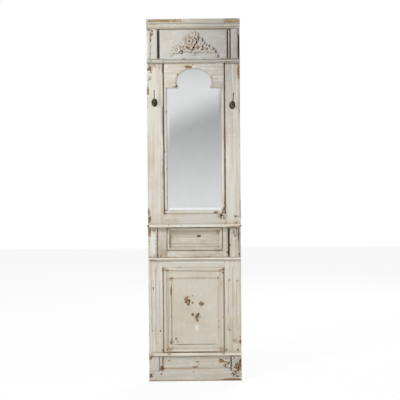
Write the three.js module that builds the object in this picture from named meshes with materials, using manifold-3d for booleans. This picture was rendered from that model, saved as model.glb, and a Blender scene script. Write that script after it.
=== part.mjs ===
// A tall wall panel of old painted timber with an arched, bevelled mirror: a frame of two stiles and
// four rails, a carved frieze under the cornice, two framed panels, three ledges and two coat hooks.
// On the back are a backing board, two ring hangers and two bumpers.
//
// Millimetres. x runs to the right and z up. Depth is counted from the wall towards the viewer, so a
// depth d lies at y = -d. Heights are counted from the foot of the panel; at the very end the whole
// group is lowered, so that its origin lies on the wall face, level with the ring hangers' eyes.
import * as THREE from "three";
import { mergeVertices } from "three/addons/utils/BufferGeometryUtils.js";
import Module from "manifold-3d";

const wasm = await Module();
wasm.setup();

// ---------------------------------------------------------------- driving dimensions

// Heights of the bands, from the foot up.
const plinthHeight = 50;
const baseHeight = 80;
const baseLedgeThick = 12;
const lowerHeight = 475;
const middleLedgeThick = 9;
const middleHeight = 156;
const shelfThick = 13;
const mirrorRailFace = 53;
const mirrorHeight = 762;
const friezeMouldingHeight = 17;
const friezeHeight = 154;
const corniceHeight = 49;

// Widths. The two openings of the old frame don't sit quite in the middle.
const overallWidth = 470;
const stileWidth = 77;
const mirrorShift = 3;
const panelShift = -5.5;

// Depths.
const frameDepth = 26;
const boardThick = 6;
const blockThick = 12;
const plinthThick = 13;
const shelfReach = 36;
const middleLedgeReach = 16;
const baseLedgeReach = 24;
const corniceBedDepth = 41;
const corniceDepth = 48;

// Joinery.
const fit = 0.3;
const tenonLength = 30;
const tenonThick = 9;
const tenonShoulder = 6;
const stubWidth = 40;
const stubLength = 20;
const grooveDepth = 8;
const panelThick = 8;
const edgeEase = 1.5;
const blockEase = 2;
const stileRound = 3;

// How far the rails run on behind the ledges and boards that cover them.
const friezeRailHeight = 40;
const mirrorRailLap = 12;
const lowerRailHeight = 65;
const lowerRailFace = 42;

// Mirror.
const glassThick = 4;
const glassBevel = 19;
const glassBevelDepth = 1.6;
const backingThick = 4;
const backingRecess = 4;
const beadWidth = 13;
const bottomBeadHeight = 18;
const glassLap = 6;
const shadowGap = 6.5;
const beadSetback = 3;
const beadRound = 7;
const beadEdge = 1.5;

// Arch.
const archHalfWidth = 88;
const archRise = 66;
const archStraight = 15;
const archFootStep = 8;
const archNibHeight = 17;
const archCrownGap = 27;
const archChamfer = 6;

// Flutes of the lower stiles.
const fluteWidth = 12;
const fluteCut = 3.5;
const flutePitch = 20.3;
const fluteFootGap = 50;
const fluteHeadGap = 41;
const fluteStepIn = 67;
const leftFluteShift = 4.25;
const rightFluteShift = 2.25;

// Middle panel: how far its frame laps over each stile and stands into the opening, and the blocks.
const middleMouldingWidth = 20;
const middleLapLeft = 32;
const middleLapRight = 8;
const middleMarginLeft = 15;
const middleMarginRight = 17;
const middleMarginBottom = 35;
const leftMiddleGap = 2;
const rightMiddleGap = 10;
const leftMiddleInset = 7.5;
const rightMiddleInset = 10.5;

// Lower panel: its moulding, and the sunk field inside it.
const lowerMouldingWidth = 21;
const sunkFieldDepth = 4;
const sunkFieldSlope = 5;
const fieldMargin = { left: 15, right: 4, top: 31, bottom: 19 };

// Frieze: the laps of its panel, its blocks and the places where its moulding breaks forward.
const friezeLapLeft = 14.5;
const friezeLapRight = 9.5;
const filletWidth = 6.5;
const filletGap = 7;
const leftFriezeInset = 17;
const leftFriezeGap = 11;
const rightFriezeInset = 10.5;
const rightFriezeGap = 6.5;
const breakForward = 8;
const breakLapLeft = 4;
const breakLapRight = 12;

// Cornice: the bead under it, the square band over it and the edges.
const corniceBeadHeight = 9;
const corniceBeadSwell = 3.5;
const corniceBedHeight = 12;
const corniceHollow = 6;
const corniceStep = 1;
const corniceTopEase = 2;

// Base: its side strip and panel cover the joints with the stiles, and the blocks stand beside them.
const leftBaseInset = 8;
const stripGap = 2.5;
const stripWidth = 20.5;
const stripLap = 3.5;
const rightBaseInset = 1;
const basePanelGap = 3.5;
const basePanelLap = 28;
const coveHeight = 15;

// Nosings of the ledges, and how far they stand out past the stiles.
const shelfNosing = 6;
const shelfOverhang = 3.5;
const middleLedgeNosing = 4;
const middleLedgeOverhang = 1.5;
const baseLedgeNosing = 5;
const baseLedgeOverhang = 2;

// Carved spray: the gaps left under it and over it, and its shift from the middle.
const sprayFootGap = 14;
const sprayHeadGap = 8;
const sprayShift = 6;
const groundThick = 1.6;

// Hooks.
const leftHookInset = 38;
const rightHookInset = 39;
const hookBossWidth = 29;
const hookBossHeight = 41;
const hookBossDome = 13;
const hookProngThick = 6.4;
const hookProngRise = 62;
const hookProngReach = 34;
const leftHookDrop = 198;
const rightHookDrop = 213;
const rightHookTilt = 6;

// Ring hangers, bumpers and studs.
const hangerInset = 42;
const hangerLength = 50;
const hangerWidth = 16;
const hangerSheet = 1.5;
const ringWire = 3;
const ringClearance = 0.35;
const ringDrop = 19;
const ringHalfWidth = 12;
const screwHead = 7;
const screwShank = 3.5;
const screwLength = 16;
const screwInset = 8;
const screwPitch = 15;
const bumperRadius = 9;
const bumperThick = 5;
const bumperHeight = 35;

// ---------------------------------------------------------------- levels and edges worked out from them

const plinthTop = plinthHeight;
const baseTop = plinthTop + baseHeight;
const lowerBottom = baseTop + baseLedgeThick;
const lowerTop = lowerBottom + lowerHeight;
const middleBottom = lowerTop + middleLedgeThick;
const middleTop = middleBottom + middleHeight;
const shelfTop = middleTop + shelfThick;
const sillTop = shelfTop + mirrorRailFace;
const mirrorTop = sillTop + mirrorHeight;
const friezeBottom = mirrorTop + friezeMouldingHeight;
const friezeTop = friezeBottom + friezeHeight;
const panelTop = friezeTop + corniceHeight;

const half = overallWidth / 2;
const reach = half - stileWidth;
const upper = { left: mirrorShift - reach, right: mirrorShift + reach };
const lower = { left: panelShift - reach, right: panelShift + reach };
const lowerRailBottom = lowerTop - lowerRailFace;
const lowerRailTop = lowerRailBottom + lowerRailHeight;
const mirrorRailBottom = middleTop - mirrorRailLap;
const friezeRailTop = mirrorTop + friezeRailHeight;
const boardFront = frameDepth + boardThick;
const blockFront = frameDepth + blockThick;
const beadFront = frameDepth - beadSetback;
const hangerHeight = mirrorTop + (friezeRailHeight + grooveDepth) / 2;

// ---------------------------------------------------------------- tools

// The geometry as a solid, turned the right way out.
function solid(geometry) {
  const bare = new THREE.BufferGeometry();
  const source = geometry.index ? geometry.toNonIndexed() : geometry;
  bare.setAttribute("position", source.getAttribute("position").clone());
  const merged = mergeVertices(bare, 1e-4);
  const triVerts = new Uint32Array(merged.index.array);
  const position = merged.getAttribute("position");
  const a = new THREE.Vector3();
  const b = new THREE.Vector3();
  const c = new THREE.Vector3();
  let volume = 0;
  for (let i = 0; i < triVerts.length; i += 3) {
    a.fromBufferAttribute(position, triVerts[i]);
    b.fromBufferAttribute(position, triVerts[i + 1]);
    c.fromBufferAttribute(position, triVerts[i + 2]);
    volume += a.dot(b.cross(c));
  }
  if (volume < 0) triVerts.reverse();
  return new wasm.Manifold(
    new wasm.Mesh({ numProp: 3, vertProperties: new Float32Array(position.array), triVerts }),
  );
}

const join = (first, ...rest) => rest.reduce((sum, next) => sum.add(next), first);
const cut = (first, ...rest) => rest.reduce((left, next) => left.subtract(next), first);

// A closed outline from corner points.
const outline = (points) => new THREE.Shape(points.map(([u, v]) => new THREE.Vector2(u, v)));

// A plain block between two x, two depths and two heights.
function block(x0, x1, d0, d1, z0, z1) {
  const box = new THREE.BoxGeometry(x1 - x0, d1 - d0, z1 - z0);
  box.translate((x0 + x1) / 2, -(d0 + d1) / 2, (z0 + z1) / 2);
  return solid(box);
}

// A solid skinned over rings of points, closed by a flat cap at each end. All rings have the same
// number of points, and contour is their outline in the plane, for the caps.
function skin(rings, contour) {
  const count = contour.length;
  const positions = [];
  const put = (point) => positions.push(point.x, point.y, point.z);
  for (let i = 0; i + 1 < rings.length; i += 1) {
    for (let j = 0; j < count; j += 1) {
      const k = (j + 1) % count;
      [rings[i][j], rings[i][k], rings[i + 1][k]].forEach(put);
      [rings[i][j], rings[i + 1][k], rings[i + 1][j]].forEach(put);
    }
  }
  const first = rings[0];
  const last = rings[rings.length - 1];
  const backwards = THREE.ShapeUtils.isClockWise(contour);
  for (const [p, q, r] of THREE.ShapeUtils.triangulateShape(contour, [])) {
    (backwards ? [p, q, r] : [r, q, p]).forEach((n) => put(first[n]));
    (backwards ? [r, q, p] : [p, q, r]).forEach((n) => put(last[n]));
  }
  const geometry = new THREE.BufferGeometry();
  geometry.setAttribute("position", new THREE.Float32BufferAttribute(positions, 3));
  return solid(geometry);
}

// A board whose front edges are eased.
function easedBoard(x0, x1, d0, d1, z0, z1, ease = edgeEase) {
  const contour = [
    [0, 0],
    [1, 0],
    [1, 1],
    [0, 1],
  ].map(([u, v]) => new THREE.Vector2(u, v));
  const ring = (depth, inset) =>
    contour.map(({ x, y }) => {
      const across = x ? x1 - inset : x0 + inset;
      const up = y ? z1 - inset : z0 + inset;
      return new THREE.Vector3(across, -depth, up);
    });
  return skin([ring(d0, 0), ring(d1 - ease, 0), ring(d1, ease)], contour);
}

// A section drawn as [x, depth] and carried from one height to another.
function post(section, z0, z1) {
  const geometry = new THREE.ExtrudeGeometry(outline(section.map(([x, d]) => [x, -d])), {
    depth: z1 - z0,
    bevelEnabled: false,
  });
  geometry.translate(0, 0, z0);
  return solid(geometry);
}

// A section drawn as [depth, z] and carried from one x to another.
function bar(section, x0, x1) {
  const geometry = new THREE.ExtrudeGeometry(outline(section.map(([d, z]) => [-d, z])), {
    depth: x1 - x0,
    bevelEnabled: false,
  });
  const turn = new THREE.Matrix4().makeBasis(
    new THREE.Vector3(0, 1, 0),
    new THREE.Vector3(0, 0, 1),
    new THREE.Vector3(1, 0, 0),
  );
  geometry.applyMatrix4(turn);
  geometry.translate(x0, 0, 0);
  return solid(geometry);
}

// Points of a quarter round from one [u, v] to another, bulging away from the given centre.
function quarter(from, to, centre, steps = 5) {
  const points = [];
  const start = Math.atan2(from[1] - centre[1], from[0] - centre[0]);
  const end = Math.atan2(to[1] - centre[1], to[0] - centre[0]);
  let sweep = end - start;
  if (sweep > Math.PI) sweep -= 2 * Math.PI;
  if (sweep < -Math.PI) sweep += 2 * Math.PI;
  const r0 = Math.hypot(from[0] - centre[0], from[1] - centre[1]);
  const r1 = Math.hypot(to[0] - centre[0], to[1] - centre[1]);
  for (let i = 0; i <= steps; i += 1) {
    const angle = start + (sweep * i) / steps;
    const radius = r0 + ((r1 - r0) * i) / steps;
    points.push([centre[0] + radius * Math.cos(angle), centre[1] + radius * Math.sin(angle)]);
  }
  return points;
}

// Points of a half round that swells out from u between two heights.
function swell(u, z0, z1, out, steps = 6) {
  const points = [];
  for (let i = 0; i <= steps; i += 1) {
    const angle = (Math.PI * i) / steps;
    const z = (z0 + z1) / 2 - ((z1 - z0) / 2) * Math.cos(angle);
    points.push([u + out * Math.sin(angle), z]);
  }
  return points;
}

// A moulding carried along a path of [x, depth] points in plan and mitred at each turn. The profile
// is drawn as [distance out from the path, z]; out is to the viewer's side of the path.
function mouldingRun(path, profile) {
  const normals = path.slice(1).map(([x, d], i) => {
    const along = new THREE.Vector2(x - path[i][0], d - path[i][1]).normalize();
    return new THREE.Vector2(-along.y, along.x);
  });
  const rings = path.map(([x, d], i) => {
    const before = normals[Math.max(i - 1, 0)];
    const after = normals[Math.min(i, normals.length - 1)];
    const mitre = before.clone().add(after);
    mitre.divideScalar(1 + before.dot(after));
    return profile.map(
      ([out, z]) => new THREE.Vector3(x + mitre.x * out, -(d + mitre.y * out), z),
    );
  });
  return skin(
    rings,
    profile.map(([out, z]) => new THREE.Vector2(out, z)),
  );
}

// One side of a mitred frame. The profile is drawn as [share of the width from the outer edge, depth].
function frameSide(from, to, intoFrom, intoTo, profile) {
  const ring = (corner, into) =>
    profile.map(
      ([share, depth]) =>
        new THREE.Vector3(corner[0] + into[0] * share, -depth, corner[1] + into[1] * share),
    );
  return skin(
    [ring(from, intoFrom), ring(to, intoTo)],
    profile.map(([share, depth]) => new THREE.Vector2(share, depth)),
  );
}

// The four sides of a frame round the rectangle x0..x1, z0..z1, each of the given width.
function frameSides(x0, x1, z0, z1, width, profile) {
  const corners = { a: [x0, z0], b: [x1, z0], c: [x1, z1], d: [x0, z1] };
  const into = { a: [width, width], b: [-width, width], c: [-width, -width], d: [width, -width] };
  const side = (p, q) => frameSide(corners[p], corners[q], into[p], into[q], profile);
  return { bottom: side("a", "b"), right: side("b", "c"), top: side("c", "d"), left: side("d", "a") };
}

// A round bar along a curve, with flat ends.
function rod(curve, radius, steps, sides = 12) {
  const section = new THREE.Shape();
  for (let i = 0; i < sides; i += 1) {
    const angle = (2 * Math.PI * i) / sides;
    const point = [radius * Math.cos(angle), radius * Math.sin(angle)];
    if (i === 0) section.moveTo(...point);
    else section.lineTo(...point);
  }
  section.closePath();
  return solid(
    new THREE.ExtrudeGeometry(section, { steps, extrudePath: curve, bevelEnabled: false }),
  );
}

// ---------------------------------------------------------------- finishes and the exported group

const finishes = {
  paint: new THREE.MeshStandardMaterial({ color: 0xcfcabd, roughness: 0.75, metalness: 0 }),
  rawWood: new THREE.MeshStandardMaterial({ color: 0xa98a62, roughness: 0.85, metalness: 0 }),
  mirror: new THREE.MeshStandardMaterial({ color: 0xd5d7da, roughness: 0.04, metalness: 1 }),
  bronze: new THREE.MeshStandardMaterial({ color: 0x2b2622, roughness: 0.35, metalness: 0.8 }),
  steel: new THREE.MeshStandardMaterial({ color: 0xb9b7b0, roughness: 0.4, metalness: 1 }),
  rubber: new THREE.MeshStandardMaterial({ color: 0x26262a, roughness: 0.9, metalness: 0 }),
};

const panel = new THREE.Group();

function piece(name, body, finish) {
  const { vertProperties, triVerts, numProp } = body.getMesh();
  const positions = new Float32Array((vertProperties.length / numProp) * 3);
  for (let i = 0; i < positions.length / 3; i += 1) {
    positions.set(vertProperties.subarray(i * numProp, i * numProp + 3), i * 3);
  }
  const geometry = new THREE.BufferGeometry();
  geometry.setAttribute("position", new THREE.BufferAttribute(positions, 3));
  geometry.setIndex(new THREE.BufferAttribute(new Uint32Array(triVerts), 1));
  geometry.computeVertexNormals();
  const mesh = new THREE.Mesh(geometry, finishes[finish]);
  mesh.name = name;
  panel.add(mesh);
  return mesh;
}

// ---------------------------------------------------------------- fixings that the stiles are bored for

const hooks = [
  { side: "left", x: -half + leftHookInset, height: mirrorTop - leftHookDrop, tilt: 0 },
  { side: "right", x: half - rightHookInset, height: mirrorTop - rightHookDrop, tilt: rightHookTilt },
];
const studRadius = 2;
const studInWood = 18;
const studInBoss = 7;

// A hook's stud, or with grow the hole for it. The stile's face is at y = 0.
function stud(grow = 0) {
  const length = studInWood + studInBoss + 2 * grow;
  const shaft = new THREE.CylinderGeometry(studRadius + grow, studRadius + grow, length, 12);
  shaft.translate(0, (studInWood - studInBoss) / 2, 0);
  return solid(shaft);
}

const lowerScrewDrop = hangerLength - screwInset;
const hangerScrews = [
  { place: "upper", drop: lowerScrewDrop - screwPitch },
  { place: "lower", drop: lowerScrewDrop },
];
const screwPoint = 4;
const screwRim = 0.2;
const screwSlotWidth = 1;
const screwSlotDepth = 0.8;

// A countersunk screw, or with grow the hole for it. It goes in from y = hangerSheet towards -y.
function screw(grow = 0) {
  const head = screwHead / 2;
  const shank = screwShank / 2;
  const shoulder = hangerSheet - (head - shank);
  const tip = hangerSheet - screwLength;
  const mouth = grow > 0 ? head + grow : head - screwRim;
  const profile = [
    [0, tip - grow],
    [shank * 0.3 + grow, tip - grow],
    [shank + grow, tip + screwPoint],
    [shank + grow, shoulder - grow],
    [head + grow, hangerSheet - screwRim],
    [mouth, hangerSheet + grow * 4],
    [0, hangerSheet + grow * 4],
  ];
  return solid(
    new THREE.LatheGeometry(
      profile.map(([r, y]) => new THREE.Vector2(r, y)),
      16,
    ),
  );
}

// The slot across a screw's head.
const screwSlot = () =>
  block(
    -screwHead,
    screwHead,
    -hangerSheet - 1,
    -hangerSheet + screwSlotDepth,
    -screwSlotWidth / 2,
    screwSlotWidth / 2,
  );

// Everything that is bored into a stile from the front or the back.
function stileBores(side) {
  const hook = side < 0 ? hooks[0] : hooks[1];
  const x = side * (half - hangerInset);
  return [
    stud(fit).translate(hook.x, -frameDepth, hook.height),
    ...hangerScrews.map(({ drop }) => screw(fit).translate(x, 0, hangerHeight - drop)),
  ];
}

// ---------------------------------------------------------------- stiles and rails

const tenonBack = (frameDepth - tenonThick) / 2;

// A rail with a tenon at each end. With grow it is the hole that the rail needs in the stiles.
function railTenons(edges, z0, z1, grow = 0) {
  const x0 = edges.left - tenonLength - grow;
  const x1 = edges.right + tenonLength + grow;
  const back = tenonBack - grow;
  const front = tenonBack + tenonThick + grow;
  return block(x0, x1, back, front, z0 + tenonShoulder - grow, z1 - tenonShoulder + grow);
}

const rail = (edges, z0, z1) =>
  join(block(edges.left, edges.right, 0, frameDepth, z0, z1), railTenons(edges, z0, z1));

const grooveBack = (frameDepth - panelThick) / 2;

// The space that a panel's edges take in the grooves round an opening.
const grooveAround = (edges, z0, z1, back, front, grow = 0) =>
  block(
    edges.left - grooveDepth - grow,
    edges.right + grooveDepth + grow,
    back - grow,
    front + grow,
    z0 - grooveDepth - grow,
    z1 + grooveDepth + grow,
  );

const middlePanelBack = grooveBack;
const middlePanelFront = grooveBack + panelThick;
const lowerPanelBack = grooveBack - 1;
const lowerPanelFront = lowerPanelBack + panelThick + sunkFieldDepth;
const backingFront = backingRecess + backingThick;

const middleGroove = grooveAround(
  upper,
  lowerRailTop,
  mirrorRailBottom,
  middlePanelBack,
  middlePanelFront,
  fit,
);
const lowerGroove = grooveAround(
  lower,
  lowerBottom,
  lowerRailBottom,
  lowerPanelBack,
  lowerPanelFront,
  fit,
);
// The backing board drops in from behind, so its rebate is open to the wall.
const backingRebate = grooveAround(upper, sillTop, mirrorTop, -1, backingFront, 0);

const railSpans = [
  [lower, 0, lowerBottom],
  [lower, lowerRailBottom, lowerRailTop],
  [upper, mirrorRailBottom, sillTop],
  [upper, mirrorTop, friezeRailTop],
];
const mortises = railSpans.map(([edges, z0, z1]) => railTenons(edges, z0, z1, fit));

const [bottomRail, lowerRail, mirrorRail, friezeRail] = railSpans.map((span) => rail(...span));

piece("bottom_rail", cut(bottomRail, lowerGroove), "paint");
piece("lower_rail", cut(lowerRail, lowerGroove, middleGroove), "paint");
piece("mirror_rail", cut(mirrorRail, middleGroove, backingRebate), "paint");
piece("frieze_rail", cut(friezeRail, backingRebate), "paint");

// One stopped flute: a round-bottomed groove with round ends.
function flute(x, middle, length) {
  const chord = fluteWidth / 2;
  const radius = (chord * chord + fluteCut * fluteCut) / (2 * fluteCut);
  const cutter = new THREE.CapsuleGeometry(radius, length - 2 * chord, 3, 16);
  cutter.rotateX(Math.PI / 2);
  cutter.translate(x, -(frameDepth + radius - fluteCut), middle);
  return solid(cutter);
}

// Three flutes to a stile: a long one between two short ones.
function flutes(centre) {
  const foot = lowerBottom + fluteFootGap;
  const head = lowerTop - fluteHeadGap;
  const middle = (foot + head) / 2;
  const short = head - foot - 2 * fluteStepIn;
  return [
    flute(centre - flutePitch, middle, short),
    flute(centre, middle, head - foot),
    flute(centre + flutePitch, middle, short),
  ];
}

const stileTenon = (side, grow = 0) => {
  const inner = side < 0 ? upper.left : upper.right;
  const middle = (side * half + inner) / 2;
  return block(
    middle - stubWidth / 2 - grow,
    middle + stubWidth / 2 + grow,
    tenonBack - grow,
    tenonBack + tenonThick + grow,
    friezeTop - 1,
    friezeTop + stubLength + grow,
  );
};

// A stile's section: the outer corner towards the viewer is worn round.
function stileSection(outer, inner) {
  const side = Math.sign(outer);
  const corner = quarter(
    [outer, frameDepth - stileRound],
    [outer - side * stileRound, frameDepth],
    [outer - side * stileRound, frameDepth - stileRound],
    3,
  );
  return [[outer, 0], ...corner, [inner, frameDepth], [inner, 0]];
}

function stile(side) {
  const outer = side * half;
  const innerLower = side < 0 ? lower.left : lower.right;
  const innerUpper = side < 0 ? upper.left : upper.right;
  const foot = post(stileSection(outer, innerLower), 0, lowerRailTop);
  const head = post(stileSection(outer, innerUpper), lowerRailTop, friezeTop);
  const whole = join(foot, head, stileTenon(side));
  const fluteShift = side < 0 ? leftFluteShift : rightFluteShift;
  const fluteCentre = (outer + innerLower) / 2 + fluteShift;
  return cut(
    whole,
    ...mortises,
    middleGroove,
    lowerGroove,
    backingRebate,
    ...flutes(fluteCentre),
    ...stileBores(side),
  );
}

piece("left_stile", stile(-1), "paint");
piece("right_stile", stile(1), "paint");

// ---------------------------------------------------------------- cornice and frieze

// The cornice's section: a bead, a plain band, a hollow that opens out under the fascia.
const corniceBed = friezeTop + corniceBeadHeight;
const hollowFoot = corniceBed + corniceBedHeight;
const fasciaFoot = hollowFoot + corniceHollow;
const corniceSection = [
  [0, friezeTop],
  [blockFront, friezeTop],
  ...swell(blockFront, friezeTop + 1, corniceBed - 1, corniceBeadSwell, 5),
  [corniceBedDepth, corniceBed],
  ...quarter(
    [corniceBedDepth, hollowFoot],
    [corniceDepth - corniceStep, fasciaFoot],
    [corniceDepth - corniceStep, hollowFoot],
    4,
  ),
  [corniceDepth, fasciaFoot],
  [corniceDepth, panelTop - corniceTopEase],
  [corniceDepth - corniceTopEase, panelTop],
  [0, panelTop],
];
piece(
  "cornice_board",
  cut(bar(corniceSection, -half, half), stileTenon(-1, fit), stileTenon(1, fit)),
  "paint",
);

// The frieze panel laps over the stiles and the rail, and a thicker middle stands in the opening.
const friezeLeft = upper.left - friezeLapLeft;
const friezeRight = upper.right + friezeLapRight;
const friezeBodyThick = 10;
piece(
  "frieze_panel",
  join(
    easedBoard(friezeLeft, friezeRight, frameDepth, boardFront, friezeBottom, friezeTop),
    block(
      upper.left + fit,
      upper.right - fit,
      frameDepth - friezeBodyThick,
      frameDepth + 1,
      friezeRailTop + fit,
      friezeTop,
    ),
  ),
  "paint",
);

const filletLeft = friezeRight + filletGap;
piece(
  "frieze_fillet",
  easedBoard(filletLeft, filletLeft + filletWidth, frameDepth, boardFront, friezeBottom, friezeTop, 1),
  "paint",
);

// A plain block planted on a stile between two mouldings.
const plantedBlock = (x0, x1, z0, z1) => easedBoard(x0, x1, frameDepth, blockFront, z0, z1, blockEase);

piece(
  "left_frieze_block",
  plantedBlock(-half + leftFriezeInset, friezeLeft - leftFriezeGap, friezeBottom, friezeTop),
  "paint",
);
piece(
  "right_frieze_block",
  plantedBlock(
    filletLeft + filletWidth + rightFriezeGap,
    half - rightFriezeInset,
    friezeBottom,
    friezeTop,
  ),
  "paint",
);

// The frieze moulding breaks forward over each stile.
const breakLeft = upper.left - breakLapLeft;
const breakRight = upper.right - breakLapRight;
const astragal = [
  [0, mirrorTop],
  [3, mirrorTop],
  [4, mirrorTop + 4],
  ...swell(5, mirrorTop + 4, friezeBottom - 3, 4.5),
  [7, friezeBottom - 2],
  [7, friezeBottom],
  [0, friezeBottom],
];
const breakDepth = frameDepth + breakForward;
piece(
  "frieze_moulding",
  join(
    mouldingRun(
      [
        [-half, breakDepth],
        [breakLeft, breakDepth],
        [breakLeft, frameDepth],
        [breakRight, frameDepth],
        [breakRight, breakDepth],
        [half, breakDepth],
      ],
      astragal,
    ),
    block(-half, breakLeft, frameDepth, breakDepth, mirrorTop, friezeBottom),
    block(breakRight, half, frameDepth, breakDepth, mirrorTop, friezeBottom),
  ),
  "paint",
);

// ---------------------------------------------------------------- mirror

const sash = { left: upper.left + shadowGap, right: upper.right - shadowGap };
const glassEdge = beadWidth - glassLap;
const glassBottom = sillTop + bottomBeadHeight - glassLap;
const archCrown = mirrorTop - archCrownGap;
const archSpringing = archCrown - archRise;
const archFoot = archSpringing - archStraight - archNibHeight;
const glassTop = mirrorTop - 1;
const glassBack = backingFront;
const glassFront = glassBack + glassThick;

piece(
  "mirror_backing",
  block(
    upper.left - grooveDepth + fit,
    upper.right + grooveDepth - fit,
    backingRecess,
    backingFront,
    sillTop - grooveDepth + fit,
    mirrorTop + grooveDepth - fit,
  ),
  "rawWood",
);

// The glass: a plate whose front edges are ground to a wide, shallow bevel.
piece(
  "mirror_glass",
  (() => {
    const x0 = sash.left + glassEdge;
    const x1 = sash.right - glassEdge;
    const rim = glassFront - glassBevelDepth;
    const plate = (u0, u1) => [
      [u0, glassBack],
      [u0, rim],
      [u0 + glassBevel, glassFront],
      [u1 - glassBevel, glassFront],
      [u1, rim],
      [u1, glassBack],
    ];
    const across = post(plate(x0, x1), glassBottom, glassTop);
    const upright = bar(
      plate(glassBottom, glassTop).map(([z, d]) => [d, z]),
      x0,
      x1,
    );
    return across.intersect(upright);
  })(),
  "mirror",
);

// A bead's section across its width: a rebate holds the glass, the front is a quarter round that
// leaves a straight edge over the glass.
function beadSection(outer, inner) {
  const toGlass = Math.sign(inner - outer);
  const step = inner - toGlass * (glassLap + fit);
  const cover = beadFront - glassFront - fit;
  const round = Math.min(beadRound, cover - beadEdge);
  return [
    [outer, glassBack],
    [outer, beadFront - 2],
    [outer + toGlass * 2, beadFront],
    ...quarter(
      [inner - toGlass * glassLap, beadFront],
      [inner, beadFront - round],
      [inner - toGlass * glassLap, beadFront - round],
      4,
    ),
    [inner, glassFront + fit],
    [step, glassFront + fit],
    [step, glassBack],
  ];
}

const beadTop = archFoot;
piece(
  "left_mirror_bead",
  post(beadSection(sash.left, sash.left + beadWidth), sillTop + bottomBeadHeight, beadTop),
  "paint",
);
piece(
  "right_mirror_bead",
  post(beadSection(sash.right, sash.right - beadWidth), sillTop + bottomBeadHeight, beadTop),
  "paint",
);
// The bottom bead fills the whole width between the shadow gaps.
const bottomBead = beadSection(sillTop, sillTop + bottomBeadHeight).map(([z, d]) => [d, z]);
piece("bottom_mirror_bead", bar(bottomBead, sash.left, sash.right), "paint");

// Half the arched cut-out's edge, from the foot to the crown, grown outwards by a chamfer.
function archEdge(grow, below) {
  const points = [];
  const width = archHalfWidth + grow;
  const nib = archFoot + archNibHeight - grow;
  points.push([width - archFootStep, archFoot - below]);
  points.push([width - archFootStep, nib - 8]);
  quarter(
    [width - archFootStep, nib - 8],
    [width, nib],
    [width, nib - 8],
    4,
  )
    .slice(1)
    .forEach((point) => points.push(point));
  const steps = 20;
  for (let i = 0; i <= steps; i += 1) {
    const angle = (Math.PI / 2) * (i / steps);
    points.push([width * Math.cos(angle), archSpringing + (archRise + grow) * Math.sin(angle)]);
  }
  return points;
}

// The whole cut-out, mirrored from that half, about the sash's middle.
function archOutline(grow, below) {
  const edge = archEdge(grow, below);
  const mirrored = edge
    .slice(0, -1)
    .reverse()
    .map(([x, z]) => [-x, z]);
  return [...edge, ...mirrored].map(([x, z]) => [x + mirrorShift, z]);
}

piece(
  "arch_board",
  (() => {
    const back = glassBack;
    const front = frameDepth - 1;
    const board = easedBoard(sash.left, sash.right, back, front, archFoot, mirrorTop, 1);
    const pocket = block(
      sash.left + glassEdge - fit,
      sash.right - glassEdge + fit,
      back - 1,
      glassFront + fit,
      archFoot - 1,
      mirrorTop + 1,
    );
    const below = 5;
    const inner = archOutline(0, below);
    const outer = archOutline(archChamfer, below);
    const ring = (points, depth) => points.map(([x, z]) => new THREE.Vector3(x, -depth, z));
    const opening = skin(
      [
        ring(inner, back - 1),
        ring(inner, front - archChamfer),
        ring(outer, front),
        ring(outer, front + 1),
      ],
      inner.map(([x, z]) => new THREE.Vector2(x, z)),
    );
    return cut(board, pocket, opening);
  })(),
  "paint",
);

// ---------------------------------------------------------------- ledges

// A ledge is a board planted on the frame, its front and both ends worked to a nosing.
function ledge(bottom, thick, reach, overhang, nosing) {
  const side = half + overhang - nosing;
  const front = frameDepth + reach - nosing;
  const top = bottom + thick;
  const profile = [
    [0, bottom],
    [nosing * 0.35, bottom],
    ...quarter(
      [nosing * 0.35, bottom + thick * 0.2],
      [nosing, bottom + thick * 0.55],
      [nosing * 0.35, bottom + thick * 0.55],
      3,
    ),
    [nosing, top - thick * 0.12],
    [nosing - thick * 0.12, top],
    [0, top],
  ];
  const run = mouldingRun(
    [
      [-side, frameDepth],
      [-side, front],
      [side, front],
      [side, frameDepth],
    ],
    profile,
  );
  return join(run, block(-side, side, frameDepth, front, bottom, top));
}

piece(
  "shelf_ledge",
  ledge(middleTop, shelfThick, shelfReach, shelfOverhang, shelfNosing),
  "paint",
);
piece(
  "middle_ledge",
  ledge(lowerTop, middleLedgeThick, middleLedgeReach, middleLedgeOverhang, middleLedgeNosing),
  "paint",
);
piece(
  "base_ledge",
  ledge(baseTop, baseLedgeThick, baseLedgeReach, baseLedgeOverhang, baseLedgeNosing),
  "paint",
);

// ---------------------------------------------------------------- middle panel

const middleFrameLeft = upper.left - middleLapLeft;
const middleFrameRight = upper.right + middleLapRight;
const middleSight = {
  left: upper.left + middleMarginLeft,
  right: upper.right - middleMarginRight,
  bottom: middleBottom + middleMarginBottom,
};

piece(
  "middle_panel",
  grooveAround(upper, lowerRailTop, mirrorRailBottom, middlePanelBack, middlePanelFront),
  "paint",
);

// The frame's uprights fill the opening's sides and lap over the stiles.
function middleUpright(outer, edge, inner) {
  const away = Math.sign(outer - inner);
  return post(
    [
      [inner, middlePanelFront],
      [inner, boardFront],
      [outer - away, boardFront],
      [outer, boardFront - 1],
      [outer, frameDepth],
      [edge - away * fit, frameDepth],
      [edge - away * fit, middlePanelFront],
    ],
    middleBottom,
    middleTop,
  );
}
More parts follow.
